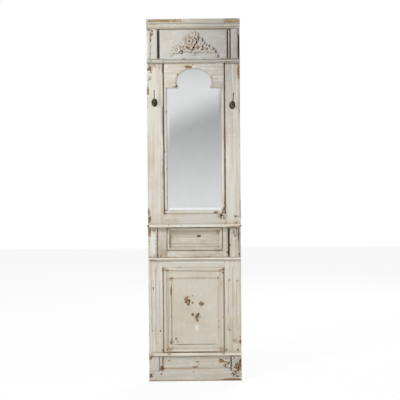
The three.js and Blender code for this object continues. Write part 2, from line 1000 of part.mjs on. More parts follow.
// The rails above and below take the depth of the frame; the uprights lap in front of them.
const uprightFoot = block(-half, half, 0, frameDepth, 0, lowerRailTop + fit);
const uprightHead = block(-half, half, 0, frameDepth, mirrorRailBottom - fit, panelTop);
piece(
  "middle_frame_left",
  cut(middleUpright(middleFrameLeft, upper.left, middleSight.left), uprightFoot, uprightHead),
  "paint",
);
piece(
  "middle_frame_right",
  cut(middleUpright(middleFrameRight, upper.right, middleSight.right), uprightFoot, uprightHead),
  "paint",
);
piece(
  "middle_frame_rail",
  cut(
    block(
      middleSight.left,
      middleSight.right,
      middlePanelFront,
      boardFront,
      middleBottom,
      middleSight.bottom,
    ),
    uprightFoot,
  ),
  "paint",
);

const middleProfile = [
  [0, middlePanelFront],
  [0, middlePanelFront + 8],
  [0.12, middlePanelFront + 8],
  [0.16, boardFront],
  [0.3, boardFront + 1.5],
  [0.5, boardFront + 0.5],
  [0.62, boardFront - 1],
  [0.8, middlePanelFront + 8],
  [0.9, middlePanelFront + 3],
  [1, middlePanelFront + 2],
  [1, middlePanelFront],
];
const middleSides = frameSides(
  middleSight.left,
  middleSight.right,
  middleSight.bottom,
  middleTop,
  middleMouldingWidth,
  middleProfile,
);
for (const [side, body] of Object.entries(middleSides)) {
  piece("middle_moulding_" + side, cut(body, uprightHead), "paint");
}

piece(
  "left_middle_block",
  plantedBlock(-half + leftMiddleInset, middleFrameLeft - leftMiddleGap, middleBottom, middleTop),
  "paint",
);
piece(
  "right_middle_block",
  plantedBlock(middleFrameRight + rightMiddleGap, half - rightMiddleInset, middleBottom, middleTop),
  "paint",
);

// ---------------------------------------------------------------- lower panel

const lowerFrame = { left: lower.left + shadowGap, right: lower.right - shadowGap };

piece(
  "lower_panel",
  (() => {
    const board = grooveAround(
      lower,
      lowerBottom,
      lowerRailBottom,
      lowerPanelBack,
      lowerPanelFront,
    );
    // The field is sunk below the margins, with sloping sides.
    const x0 = lowerFrame.left + lowerMouldingWidth + fieldMargin.left;
    const x1 = lowerFrame.right - lowerMouldingWidth - fieldMargin.right;
    const z0 = lowerBottom + lowerMouldingWidth + fieldMargin.bottom;
    const z1 = lowerRailBottom - lowerMouldingWidth - fieldMargin.top;
    const slope = sunkFieldSlope;
    const floor = lowerPanelFront - sunkFieldDepth;
    const corners = [
      [x0, z0, 1, 1],
      [x1, z0, -1, 1],
      [x1, z1, -1, -1],
      [x0, z1, 1, -1],
    ];
    const ring = (depth, inset) =>
      corners.map(([x, z, dx, dz]) => new THREE.Vector3(x + dx * inset, -depth, z + dz * inset));
    const field = skin(
      [ring(floor, slope), ring(lowerPanelFront, 0), ring(lowerPanelFront + 1, 0)],
      corners.map(([x, z]) => new THREE.Vector2(x, z)),
    );
    return cut(board, field);
  })(),
  "paint",
);

const lowerProfile = [
  [0, lowerPanelFront],
  [0, frameDepth - 2],
  [0.08, frameDepth],
  [0.5, frameDepth + 1],
  [0.58, frameDepth],
  [0.62, lowerPanelFront + 3],
  [0.78, lowerPanelFront + 2],
  [0.88, lowerPanelFront + 4],
  [1, lowerPanelFront + 1.5],
  [1, lowerPanelFront],
];
const lowerSides = frameSides(
  lowerFrame.left,
  lowerFrame.right,
  lowerBottom,
  lowerRailBottom,
  lowerMouldingWidth,
  lowerProfile,
);
for (const [side, body] of Object.entries(lowerSides)) {
  piece("lower_moulding_" + side, body, "paint");
}

// ---------------------------------------------------------------- base

const stripRight = lower.left + stripLap;
const stripLeft = stripRight - stripWidth;
const basePanelRight = lower.right + basePanelLap;
const coveTop = plinthTop + coveHeight;

piece(
  "left_base_block",
  plantedBlock(-half + leftBaseInset, stripLeft - stripGap, plinthTop, baseTop),
  "paint",
);
piece(
  "right_base_block",
  plantedBlock(basePanelRight + basePanelGap, half - rightBaseInset, plinthTop, baseTop),
  "paint",
);
piece(
  "base_panel",
  easedBoard(stripRight, basePanelRight, frameDepth, boardFront, coveTop, baseTop, 1),
  "paint",
);
piece(
  "base_side_strip",
  post(
    [
      [stripLeft, frameDepth],
      [stripLeft, blockFront - 4],
      [stripLeft + 3, blockFront - 3],
      ...quarter(
        [stripRight - 10, blockFront - 3],
        [stripRight, frameDepth + 2],
        [stripRight, blockFront - 3],
        5,
      ),
      [stripRight, frameDepth],
    ],
    coveTop,
    baseTop,
  ),
  "paint",
);
piece(
  "base_cove",
  bar(
    [
      [frameDepth, plinthTop],
      [blockFront - 2, plinthTop],
      [blockFront - 2, plinthTop + 3],
      ...quarter(
        [blockFront - 3, plinthTop + 4],
        [frameDepth + 3, coveTop],
        [blockFront - 3, coveTop],
        5,
      ),
      [frameDepth, coveTop],
    ],
    stripLeft,
    basePanelRight,
  ),
  "paint",
);
piece(
  "plinth_board",
  easedBoard(-half, half, frameDepth, frameDepth + plinthThick, 0, plinthTop, blockEase),
  "paint",
);

// ---------------------------------------------------------------- carved spray

// A low leaf: a lens seen from the front, with a raised rib on each side of its vein.
function leaf(x, z, length, width, turn, rise) {
  const contour = [
    [-0.5, 0],
    [-0.28, 0.9],
    [0, 0.55],
    [0.28, 0.9],
    [0.5, 0],
    [0.5, -1],
    [-0.5, -1],
  ].map(([u, v]) => new THREE.Vector2(u, v));
  const root = boardFront - 1;
  const rings = [];
  const steps = 5;
  for (let i = 0; i <= steps; i += 1) {
    const t = i / steps;
    const swell = 0.06 + 0.94 * Math.sin(Math.PI * Math.pow(t, 0.8));
    const along = (t - 0.5) * length;
    const bend = 0.12 * length * Math.sin(Math.PI * t);
    const angle = THREE.MathUtils.degToRad(turn);
    rings.push(
      contour.map(({ x: u, y: v }) => {
        const across = u * width * swell + bend;
        const px = x + along * Math.cos(angle) - across * Math.sin(angle);
        const pz = z + along * Math.sin(angle) + across * Math.cos(angle);
        const depth = v < 0 ? root : boardFront + v * rise * (0.35 + 0.65 * swell);
        return new THREE.Vector3(px, -depth, pz);
      }),
    );
  }
  return skin(rings, contour);
}

// A flower: petals round a raised centre.
function flower(x, z, radius, petals, rise) {
  const bloom = [];
  for (let i = 0; i < petals; i += 1) {
    const angle = (2 * Math.PI * i) / petals + 0.3;
    const petal = new THREE.SphereGeometry(1, 8, 4);
    petal.scale(radius * 0.5, rise, radius * 0.4);
    petal.rotateY(-angle);
    petal.translate(
      x + radius * 0.55 * Math.cos(angle),
      -boardFront,
      z + radius * 0.55 * Math.sin(angle),
    );
    bloom.push(solid(petal));
  }
  const bud = new THREE.SphereGeometry(1, 8, 4);
  bud.scale(radius * 0.34, rise * 1.25, radius * 0.34);
  bud.translate(x, -boardFront, z);
  return join(solid(bud), ...bloom);
}

// A scroll: a rod that tapers along a curl lying on the panel.
function scroll(points, radius) {
  const curve = new THREE.CatmullRomCurve3(
    points.map(([x, z]) => new THREE.Vector3(x, -(boardFront + radius * 0.3), z)),
  );
  return rod(curve, radius, 8, 6);
}

// The spray was drawn 132 high; it is carved to the height left between the two gaps.
const drawnHeight = 132;
const sprayFoot = friezeBottom + sprayFootGap;
const sprayScale = (friezeHeight - sprayFootGap - sprayHeadGap) / drawnHeight;
const spray = (() => {
  const parts = [
    flower(-29, 80, 24, 7, 13),
    flower(-31, 45, 19, 6, 10),
    flower(20, 45, 20, 6, 10),
    flower(62, 40, 15, 5, 8),
    flower(-89, 34, 17, 5, 8),
    leaf(-8, 112, 36, 15, 115, 7),
    leaf(6, 116, 34, 13, 60, 7),
    leaf(31, 84, 46, 20, 100, 9),
    leaf(48, 66, 26, 12, 120, 6),
    leaf(-57, 58, 34, 14, 160, 6),
    leaf(-60, 38, 36, 14, 185, 6),
    leaf(42, 34, 34, 14, -20, 6),
    leaf(88, 36, 38, 15, -30, 6),
    leaf(96, 20, 34, 12, -20, 5),
    leaf(112, 10, 26, 9, -50, 4),
    leaf(-106, 18, 32, 10, 215, 4),
    leaf(-5, 22, 56, 16, 0, 6),
    leaf(-34, 20, 40, 12, 190, 5),
    leaf(36, 18, 40, 12, -10, 5),
    leaf(0, 62, 40, 18, 90, 8),
    scroll([[-56, 72], [-48, 92], [-30, 106], [-14, 106]], 3.2),
    scroll([[-4, 40], [-8, 60], [2, 84], [12, 100]], 3),
    scroll([[60, 22], [80, 20], [96, 30], [102, 40]], 2.6),
    scroll([[-100, 44], [-84, 56], [-62, 60], [-46, 52]], 2.6),
  ];
  // The thin ground that the flowers and leaves are carved on, a low gable with a wavy edge.
  const ground = new THREE.SplineCurve(
    [
      [-112, 10],
      [-84, 44],
      [-50, 62],
      [-40, 92],
      [-4, 118],
      [26, 92],
      [52, 66],
      [84, 42],
      [112, 8],
      [60, 20],
      [0, 12],
      [-60, 20],
      [-112, 10],
    ].map(([x, z]) => new THREE.Vector2(x, z)),
  );
  const groundShape = new THREE.ExtrudeGeometry(new THREE.Shape(ground.getPoints(48).slice(1)), {
    depth: groundThick,
    bevelEnabled: false,
  });
  groundShape.rotateX(Math.PI / 2);
  groundShape.translate(0, -boardFront, 0);
  const placed = join(solid(groundShape), ...parts)
    .scale([sprayScale, 1, sprayScale])
    .translate(sprayShift, 0, sprayFoot);
  return cut(placed, block(-half, half, 0, boardFront, friezeBottom, friezeTop));
})();
piece("carved_spray", spray, "paint");

// ---------------------------------------------------------------- hooks

const bossHeightShare = hookBossHeight / hookBossWidth;

// The oval boss: a thin rim round a dome. Its flat back lies at y = 0 and it stands towards -y.
function hookBoss() {
  const rim = hookBossWidth / 2;
  const profile = [
    [0, 0],
    [rim, 0],
    [rim, 2.5],
    [rim - 1.2, 3.8],
    [rim - 2.8, 4],
  ];
  const steps = 5;
  for (let i = 1; i < steps; i += 1) {
    const angle = (Math.PI / 2) * (i / steps);
    profile.push([(rim - 3.2) * Math.cos(angle), 4 + (hookBossDome - 4) * Math.sin(angle)]);
  }
  profile.push([0, hookBossDome]);
  const dome = new THREE.LatheGeometry(
    profile.map(([r, h]) => new THREE.Vector2(r, h)),
    24,
  );
  dome.rotateX(Math.PI);
  dome.scale(1, 1, bossHeightShare);
  return solid(dome);
}

// The prong leaves the dome, runs forward and turns up to a blunt tip.
function hookProng() {
  const path = new THREE.CatmullRomCurve3(
    [
      [hookBossDome - 6, 3],
      [hookBossDome + 6, 3],
      [hookProngReach - 6, 8],
      [hookProngReach, 22],
      [hookProngReach, 42],
      [hookProngReach + 2, hookProngRise],
    ].map(([d, z]) => new THREE.Vector3(0, -d, z)),
  );
  const tip = new THREE.SphereGeometry(hookProngThick * 0.6, 10, 6);
  tip.translate(0, -(hookProngReach + 2), hookProngRise);
  return join(rod(path, hookProngThick / 2, 14, 10), solid(tip));
}

for (const { side, x, height, tilt } of hooks) {
  const casting = piece(side + "_coat_hook", cut(join(hookBoss(), hookProng()), stud(fit)), "bronze");
  const thread = piece(side + "_hook_stud", stud(), "steel");
  for (const mesh of [casting, thread]) {
    mesh.rotation.y = THREE.MathUtils.degToRad(tilt);
    mesh.position.set(x, -frameDepth, height);
  }
}

// ---------------------------------------------------------------- ring hangers

const eyeInner = ringWire / 2 + ringClearance;
const eyeOuter = eyeInner + hangerSheet;

// The strap: a sheet rolled over at the top into an eye, with a rounded foot and two screw holes.
function hangerStrap() {
  const opening = THREE.MathUtils.degToRad(-70);
  const steps = 10;
  const arc = (radius) => {
    const points = [];
    for (let i = 0; i <= steps; i += 1) {
      const angle = Math.PI + ((opening - Math.PI) * i) / steps;
      points.push([eyeOuter + radius * Math.cos(angle), radius * Math.sin(angle)]);
    }
    return points;
  };
  const section = [
    ...arc(eyeOuter),
    ...arc(eyeInner).reverse(),
    [hangerSheet, -hangerLength],
    [0, -hangerLength],
  ];
  const rolled = bar(
    section.map(([y, z]) => [-y, z]),
    -hangerWidth / 2,
    hangerWidth / 2,
  );
  const radius = hangerWidth / 2;
  const face = new THREE.Shape();
  face.moveTo(radius, eyeOuter + 1);
  face.lineTo(-radius, eyeOuter + 1);
  face.lineTo(-radius, -hangerLength + radius);
  face.absarc(0, -hangerLength + radius, radius, Math.PI, 2 * Math.PI, false);
  face.closePath();
  const stamped = new THREE.ExtrudeGeometry(face, {
    depth: 4 * eyeOuter,
    bevelEnabled: false,
    curveSegments: 8,
  });
  stamped.rotateX(Math.PI / 2);
  stamped.translate(0, 3 * eyeOuter, 0);
  const holes = hangerScrews.map(({ drop }) => screw(fit / 2).translate(0, 0, -drop));
  return cut(rolled.intersect(solid(stamped)), ...holes);
}

// The ring: a straight bar through the eye and a half-oval bow that hangs from its ends.
function hangerRing() {
  const radius = ringWire / 2;
  const reach = ringHalfWidth;
  const straight = new THREE.CylinderGeometry(radius, radius, 2 * reach, 10);
  straight.rotateZ(Math.PI / 2);
  const corner = (x) => {
    const ball = new THREE.SphereGeometry(radius * 1.02, 10, 6);
    ball.translate(x, 0, 0);
    return solid(ball);
  };
  const bow = [];
  const steps = 8;
  for (let i = 0; i <= steps; i += 1) {
    const angle = (Math.PI * i) / steps;
    bow.push(new THREE.Vector3(reach * Math.cos(angle), 0, -ringDrop * Math.sin(angle)));
  }
  const bent = rod(new THREE.CatmullRomCurve3(bow), radius, 16, 10);
  return join(solid(straight), corner(-reach), corner(reach), bent);
}

for (const side of [-1, 1]) {
  const name = side < 0 ? "left" : "right";
  const x = side * (half - hangerInset);
  piece(name + "_hanger_strap", hangerStrap(), "steel").position.set(x, 0, hangerHeight);
  piece(name + "_hanger_ring", hangerRing(), "steel").position.set(x, eyeOuter, hangerHeight);
  hangerScrews.forEach(({ place, drop }) => {
    const mesh = piece(name + "_hanger_screw_" + place, cut(screw(), screwSlot()), "steel");
    mesh.position.set(x, 0, hangerHeight - drop);
  });
  const bumper = new THREE.LatheGeometry(
    [
      [0, 0],
      [bumperRadius, 0],
      [bumperRadius, bumperThick - 1.5],
      [bumperRadius - 1.5, bumperThick],
      [0, bumperThick],
    ].map(([r, y]) => new THREE.Vector2(r, y)),
    24,
  );
  piece(name + "_bumper", solid(bumper), "rubber").position.set(x, 0, bumperHeight);
}

// ---------------------------------------------------------------- placing on the wall

panel.position.z = -hangerHeight;

export default panel;
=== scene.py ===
# %% [markdown]
# # A painted timber wall panel with an arched mirror
#
# The panel is old joinery: two long stiles, rails between them, mouldings and blocks, a carved
# spray, a bevelled mirror and two coat hooks. Its solids come ready made as a fixed frame. This
# notebook gives them what a camera sees: edges knocked by a century of use, layers of chalky paint
# over brown wood, carving, silvered glass, dark bronze and bright steel.
#
# Everything is in metres. x runs to the right, z up, and -y towards the viewer. The origin lies on
# the panel's back, at the height of the ring hangers.

import math
import random

import bmesh
import bpy
import numpy as np
from mathutils import Euler, Matrix, Vector, noise


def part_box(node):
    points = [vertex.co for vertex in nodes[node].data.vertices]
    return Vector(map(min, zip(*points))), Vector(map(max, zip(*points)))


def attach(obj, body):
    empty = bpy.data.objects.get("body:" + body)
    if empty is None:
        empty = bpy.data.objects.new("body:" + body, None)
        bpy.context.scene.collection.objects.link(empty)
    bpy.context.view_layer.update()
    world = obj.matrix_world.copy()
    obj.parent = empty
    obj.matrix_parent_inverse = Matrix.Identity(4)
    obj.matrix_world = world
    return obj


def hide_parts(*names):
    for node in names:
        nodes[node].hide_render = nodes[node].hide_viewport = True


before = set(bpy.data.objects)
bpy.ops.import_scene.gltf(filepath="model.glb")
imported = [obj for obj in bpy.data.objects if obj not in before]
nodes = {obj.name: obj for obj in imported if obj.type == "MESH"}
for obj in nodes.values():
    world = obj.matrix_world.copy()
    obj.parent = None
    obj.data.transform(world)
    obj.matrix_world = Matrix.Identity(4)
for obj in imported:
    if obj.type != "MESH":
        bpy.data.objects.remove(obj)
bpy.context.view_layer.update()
scene = bpy.context.scene

# %% [markdown]
# Positions on the panel are easiest to read as a joiner would give them: millimetres from the
# middle and millimetres up from the foot. The foot lies below the origin by the height of the
# hangers, which the plinth board's lowest corner tells.

# %% Measures
MM = 0.001
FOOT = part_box("plinth_board")[0].z


def on_panel(x, z, depth=0.0):
    """The point x mm from the middle, z mm above the foot and depth mm in front of the back."""
    return Vector((x * MM, -depth * MM, FOOT + z * MM))


print("foot at z =", round(FOOT, 4))

# %% [markdown]
# ## Camera
#
# The view is nearly square on, from about waist height and far enough back that the top and the
# foot are seen almost alike. A long lens on a normal camera gives that. The small turns put the
# panel in the picture with the slight lean that it has there. Colours are shown plainly, with the
# Standard view, so that a paint mixed here comes out as it was mixed.

# %% Camera
LENS = 79.5
STANDPOINT = (-0.016, -4.5, -0.623)
DOWN, ASIDE, LEAN = (math.radians(turn) for turn in (1.19, -0.58, -0.42))

camera_data = bpy.data.cameras.new("camera")
camera_data.lens = LENS
camera = bpy.data.objects.new("camera", camera_data)
scene.collection.objects.link(camera)
aim = Euler((math.radians(90) - DOWN, 0, ASIDE)).to_matrix()
roll = Matrix.Rotation(LEAN, 3, "Z")
camera.matrix_world = Matrix.Translation(STANDPOINT) @ (aim @ roll).to_4x4()
scene.camera = camera
scene.view_settings.view_transform = "Standard"
print("camera", camera_data.lens, "mm at", [round(c, 3) for c in camera.matrix_world.translation])

# %% [markdown]
# ## Building node trees
#
# A material is a small graph. Written out by hand, each node takes three or four lines, so a thin
# wrapper keeps the recipes readable: each call adds one node, links what is a socket, types in
# what is a number, and hands back the output to use next.

# %% A wrapper for node trees
class Graph:
    """Adds nodes to one tree. Any argument may be an output socket or a plain value."""

    def __init__(self, tree):
        self.tree = tree
        self.count = 0

    def add(self, kind, inputs=(), **settings):
        node = self.tree.nodes.new(kind)
        node.location = (220 * (self.count // 6), -190 * (self.count % 6))
        self.count += 1
        for name, value in settings.items():
            setattr(node, name, value)
        for key, value in dict(inputs).items():
            self.feed(node.inputs[key], value)
        return node

    def feed(self, socket, value):
        if isinstance(value, bpy.types.NodeSocket):
            self.tree.links.new(value, socket)
        elif hasattr(value, "__len__") and socket.type == "RGBA" and len(value) == 3:
            socket.default_value = (*value, 1)
        else:
            socket.default_value = value

    def math(self, operation, a, b):
        return self.add("ShaderNodeMath", {0: a, 1: b}, operation=operation).outputs[0]

    def times(self, a, b):
        return self.math("MULTIPLY", a, b)

    def vector(self, operation, a, b=(0, 0, 0)):
        node = self.add("ShaderNodeVectorMath", {0: a, 1: b}, operation=operation)
        return node.outputs["Value" if operation == "LENGTH" else "Vector"]

    def mix(self, factor, a, b, blend="MIX"):
        node = self.add("ShaderNodeMix", data_type="RGBA", blend_type=blend)
        for socket, value in ((0, factor), (6, a), (7, b)):
            self.feed(node.inputs[socket], value)
        return node.outputs[2]

    def between(self, value, low, high, out_low=0.0, out_high=1.0):
        """A smooth step from out_low at low to out_high at high."""
        inputs = {0: value, 1: low, 2: high, 3: out_low, 4: out_high}
        return self.add("ShaderNodeMapRange", inputs, interpolation_type="SMOOTHSTEP").outputs[0]

    def noise(self, vector, scale, detail=3.0, roughness=0.55):
        inputs = {"Vector": vector, "Scale": scale, "Detail": detail, "Roughness": roughness}
        return self.add("ShaderNodeTexNoise", inputs).outputs["Fac"]

    def split(self, vector):
        return self.add("ShaderNodeSeparateXYZ", {0: vector}).outputs

    def place(self, kind="Object"):
        return self.add("ShaderNodeTexCoord").outputs[kind]

    def largest(self, masks):
        total = 0.0
        for mask in masks:
            total = self.math("MAXIMUM", total, mask)
        return total


def new_group(name, inputs, outputs):
    """A shader node group with named sockets, and a Graph and its inputs to fill it with."""
    tree = bpy.data.node_groups.new(name, "ShaderNodeTree")
    for label, kind in inputs.items():
        tree.interface.new_socket(label, in_out="INPUT", socket_type="NodeSocket" + kind)
    for label, kind in outputs.items():
        tree.interface.new_socket(label, in_out="OUTPUT", socket_type="NodeSocket" + kind)
    graph = Graph(tree)
    given = graph.add("NodeGroupInput").outputs
    result = graph.add("NodeGroupOutput").inputs
    return tree, graph, given, result


def colour(red, green, blue):
    """A colour read off as 0 to 255, as the linear values that Blender's sockets take."""
    return tuple(((c / 255 + 0.055) / 1.055) ** 2.4 for c in (red, green, blue))


print("helpers ready")

# %% [markdown]
# ## Surroundings
#
# A mirror is only as good as the room in front of it. The world here is three things at once: plain
# white where the camera looks past the panel, an even pale light on the paint, and, for whatever
# reflects, a pale room with a soft slanting edge between a bright ceiling and a greyer wall. That
# edge is what shows in the glass.

# %% World
BLACK, WHITE = (0, 0, 0), (1, 1, 1)
DAYLIGHT = 0.44
SLANT = 0.44
SLANT_REACH = 0.06

world = bpy.data.worlds.new("studio")
scene.world = world
world.use_nodes = True
world.node_tree.nodes.clear()
g = Graph(world.node_tree)
axes = g.split(g.place("Generated"))
aside = g.math("MINIMUM", g.math("MAXIMUM", axes["X"], -SLANT_REACH), SLANT_REACH)
slant = g.math("SUBTRACT", axes["Z"], g.times(aside, SLANT))
ceiling = g.between(slant, 0.055, 0.098)
wall = g.between(axes["Z"], -0.04, 0.085, 0.79, 0.43)
upper = g.between(axes["Z"], 0.10, 0.14, 0.82, 0.62)
room = g.mix(ceiling, g.mix(wall, BLACK, WHITE), g.mix(upper, BLACK, WHITE))
even = g.add("ShaderNodeBackground", {"Color": WHITE, "Strength": DAYLIGHT}).outputs[0]
seen = g.add("ShaderNodeBackground", {"Color": WHITE, "Strength": 1}).outputs[0]
mirrored = g.add("ShaderNodeBackground", {"Color": room, "Strength": 1}).outputs[0]
path = g.add("ShaderNodeLightPath").outputs
glossy = g.add("ShaderNodeMixShader", {0: path["Is Glossy Ray"], 1: even, 2: mirrored}).outputs[0]
shown = g.add("ShaderNodeMixShader", {0: path["Is Camera Ray"], 1: glossy, 2: seen}).outputs[0]
g.add("ShaderNodeOutputWorld", {0: shown})
print("world", len(world.node_tree.nodes), "nodes")

# %% [markdown]
# The light comes softly from the upper left, so every ledge drops a short shadow and the right side
# of each raised part is the darker one. A large weak lamp on the right keeps those sides open, and
# one behind the panel shows its back.

# %% Lamps
def soft_lamp(name, place, size, watts):
    """A disc of light that points at about the middle of the panel."""
    data = bpy.data.lights.new(name, "AREA")
    data.shape = "DISK"
    data.size = size
    data.energy = watts
    lamp = bpy.data.objects.new(name, data)
    scene.collection.objects.link(lamp)
    towards = Vector((0, 0, FOOT + AIM_HEIGHT)) - Vector(place)
    turn = towards.to_track_quat("-Z", "Y").to_matrix().to_4x4()
    lamp.matrix_world = Matrix.Translation(place) @ turn


AIM_HEIGHT = 0.95
soft_lamp("key_lamp", (-2.3, -2.9, 1.9), size=1.1, watts=118)
soft_lamp("fill_lamp", (2.8, -2.6, 0.3), size=2.2, watts=10)
soft_lamp("back_lamp", (1.6, 3.2, 1.6), size=2.0, watts=90)

# %% [markdown]
# The floor is pale and plain. A bare white floor would show a grey horizon against the background,
# and a glowing one would lose the shadow. So the camera and the mirror see mostly the glow, mixed
# with a little of the lit floor, which keeps the panel's shadow.

# %% Floor
REACH = 9.0
GLOW_SHARE = 0.88

floor_mesh = bpy.data.meshes.new("floor")
sides = [(-REACH, -REACH), (REACH, -REACH), (REACH, REACH), (-REACH, REACH)]
floor_mesh.from_pydata([(x, y, FOOT - 1 * MM) for x, y in sides], [], [range(4)])
floor = bpy.data.objects.new("floor", floor_mesh)
scene.collection.objects.link(floor)
floor_finish = bpy.data.materials.new("studio_floor")
floor_finish.use_nodes = True
floor_finish.node_tree.nodes.clear()
g = Graph(floor_finish.node_tree)
place = g.place()
tone = g.mix(g.noise(place, 3.0), colour(247, 247, 246), colour(252, 252, 251))
painted = g.add("ShaderNodeBsdfPrincipled", {"Base Color": tone, "Roughness": 0.8}).outputs[0]
bright = g.add("ShaderNodeEmission", {"Color": WHITE, "Strength": 1}).outputs[0]
path = g.add("ShaderNodeLightPath").outputs
looked_at = g.math("MAXIMUM", path["Is Camera Ray"], path["Is Glossy Ray"])
share = g.times(looked_at, GLOW_SHARE)
blend = g.add("ShaderNodeMixShader", {0: share, 1: painted, 2: bright}).outputs[0]
g.add("ShaderNodeOutputMaterial", {0: blend})
floor_mesh.materials.append(floor_finish)
print("floor", 2 * REACH, "m wide")

# %% [markdown]
# ## Old paint
#
# The finish is what makes this panel: cream and grey milk paint, brushed on in several coats,
# rubbed back and glazed brown in the corners. It could be one image wrapped round the object, but
# then every board would need its own drawing. Instead it is built in layers, as it came to be:
# wood, paint, brush streaks, dirt, and then the knocks that break through to the wood, with painted
# light and shade laid in among them.
#
# The first group is a single knock: an ellipse or a box somewhere on the panel. A noise is added to
# the distance from its middle, and this frays its edge as flaking paint does.

# %% The knock group
FRAY = 3.0

knock, g, given, result = new_group(
    "knock",
    {
        "Vector": "Vector",
        "Centre": "Vector",
        "Half Size": "Vector",
        "Ragged": "Float",
        "Square": "Float",
    },
    {"Mask": "Float"},
)
from_middle = g.vector("SUBTRACT", given["Vector"], given["Centre"])
offset = g.vector("DIVIDE", from_middle, given["Half Size"])
parts = g.split(g.vector("ABSOLUTE", offset))
boxed = g.math("MAXIMUM", parts["X"], parts["Z"])
shapes = {0: given["Square"], 2: g.vector("LENGTH", offset), 3: boxed}
away = g.add("ShaderNodeMix", shapes).outputs[0]
frayed = g.math("ADD", away, g.times(g.math("SUBTRACT", given["Ragged"], 0.5), FRAY))
g.feed(result["Mask"], g.between(frayed, 1.0, 0.8))
print("knock", len(knock.nodes), "nodes")

# %% [markdown]
# The second group is the coat itself. Along the grain everything is drawn out: the fibres that
# telegraph through the paint, the brush strokes, the streaks in the bare wood. Its masks say where
# the paint is gone, where it is black with age or with painted shadow, stained, chalky or lighter
# with painted highlight, crazed, and where brown glaze and painted shade gather in the hollows. It
# answers with a colour, a roughness and a height for the bump. Each line below lays one thing over
# the one before, in the order in which they came on the wood, so a line can be changed alone.

# %% The old paint group
old_paint, g, given, result = new_group(
    "old_paint",
    {
        "Vector": "Vector",
        "Paint": "Color",
        "Undercoat": "Color",
        "Wood": "Color",
        "Bare": "Float",
        "Dark": "Float",
        "Stain": "Float",
        "Pale": "Float",
        "Mould": "Float",
        "Crazed": "Float",
        "GlazeAndShade": "Float",
        "Streaks": "Float",
    },
    {"Color": "Color", "Roughness": "Float", "Height": "Float"},
)
# The chalk colour also paints the highlight of the lighter strips, the glaze colour also paints
# shade in the hollows, and the bruise colour also paints the shadow of dark knocks and gaps.
WHITEWASH, CHALK_AND_HIGHLIGHT, LIFTED = colour(222, 221, 216), colour(226, 227, 222), colour(232, 231, 227)
THICK_PAINT, THIN_PAINT = colour(233, 229, 220), colour(180, 158, 122)
TEA, MOSS, HONEY, GLAZE_AND_SHADE = (
    colour(160, 128, 90),
    colour(128, 122, 78),
    colour(166, 134, 92),
    colour(92, 72, 50),
)
CHIP_RIM, PORE, BRUISE_AND_SHADOW = colour(128, 106, 80), colour(84, 62, 42), colour(58, 43, 30)
DRAWN_OUT = (1, 1, 0.045)

along = g.vector("MULTIPLY", given["Vector"], DRAWN_OUT)
fibre = g.noise(along, 430, 4, 0.6)
stroke = g.noise(along, 95, 2)
cloud = g.noise(given["Vector"], 6.5, 3)
blotch = g.noise(given["Vector"], 48, 5, 0.62)
speck = g.noise(given["Vector"], 135, 4, 0.7)
fleck = g.noise(given["Vector"], 185, 4, 0.7)

warm = g.mix(g.between(cloud, 0.42, 0.68, 0, 0.6), given["Paint"], given["Undercoat"])
cool = g.mix(g.between(blotch, 0.52, 0.75, 0, 0.5), warm, WHITEWASH)
ridges = g.times(given["Streaks"], g.between(stroke, 0.5, 0.3, 0, 0.65))
thick = g.mix(ridges, cool, THICK_PAINT)
streaky = g.times(given["Streaks"], g.between(stroke, 0.5, 0.72, 0, 0.62))
brushed = g.mix(streaky, thick, THIN_PAINT)
shade = g.math("ADD", 0.9, g.times(fibre, 0.2))
fibres = g.add("ShaderNodeCombineColor", {0: shade, 1: shade, 2: shade}).outputs[0]
coat = g.mix(1.0, brushed, fibres, "MULTIPLY")

# Chalky rubs, and the painted highlight of the lighter strips.
chalked_and_highlighted = g.mix(g.times(given["Pale"], 0.8), coat, CHALK_AND_HIGHLIGHT)
tanned = g.mix(g.times(given["Stain"], 0.55), chalked_and_highlighted, TEA)
mouldy = g.mix(g.times(given["Mould"], 0.5), tanned, MOSS)

flakes = g.times(given["Crazed"], g.between(fleck, 0.505, 0.545))
chips = g.times(given["Crazed"], g.between(blotch, 0.55, 0.60))
curled = g.times(given["Crazed"], g.between(speck, 0.5, 0.38, 0, 0.85))
lifted = g.mix(curled, mouldy, LIFTED)
bare = g.math("MAXIMUM", given["Bare"], g.times(chips, 0.9))
dark = g.math("MAXIMUM", given["Dark"], g.times(flakes, 0.85))

deep = g.mix(1.0, given["Wood"], colour(172, 158, 146), "MULTIPLY")
wood = g.mix(g.between(fibre, 0.38, 0.62), deep, given["Wood"])
wood = g.mix(g.between(speck, 0.5, 0.64, 0, 0.7), wood, PORE)
# Brown glaze and painted shade in the hollows: honey where partly shut off, dark where deep.
honeyed = g.mix(g.between(given["GlazeAndShade"], 0.0, 0.5, 0, 0.62), lifted, HONEY)
glazed_and_shaded = g.mix(g.between(given["GlazeAndShade"], 0.45, 1.0, 0, 0.85), honeyed, GLAZE_AND_SHADE)
edge = g.times(g.between(bare, 0.02, 0.4), g.between(bare, 0.98, 0.6))
chipped = g.mix(g.times(edge, 0.7), glazed_and_shaded, CHIP_RIM)
worn = g.mix(g.between(bare, 0.45, 0.7), chipped, wood)
# Black bruises and knots, and the painted shadow of the dark knocks and gaps.
final = g.mix(g.times(dark, 0.92), worn, BRUISE_AND_SHADOW)
g.feed(result["Color"], final)
g.feed(result["Roughness"], g.between(bare, 0.3, 0.7, 0.6, 0.82))
brushwork = g.math("ADD", g.times(fibre, 0.28), g.times(stroke, 0.22))
missing = g.times(g.math("ADD", bare, dark), 0.5)
g.feed(result["Height"], g.math("SUBTRACT", brushwork, missing))
print("old_paint", len(old_paint.nodes), "nodes")

# %% [markdown]
# The backs of the boards were never painted. They show brown, dusty, machine-sawn softwood, and the
# back of the board behind the glass is pressed wood of much the same look. So raw wood is a group
# of its own, told the lighter and the deeper colour of its grain. Saw marks run across it as a
# wave.

# %% The raw wood group
raw_wood, g, given, result = new_group(
    "raw_wood",
    {"Vector": "Vector", "Light": "Color", "Deep": "Color"},
    {"Color": "Color", "Roughness": "Float", "Height": "Float"},
)
DUST = colour(150, 140, 124)

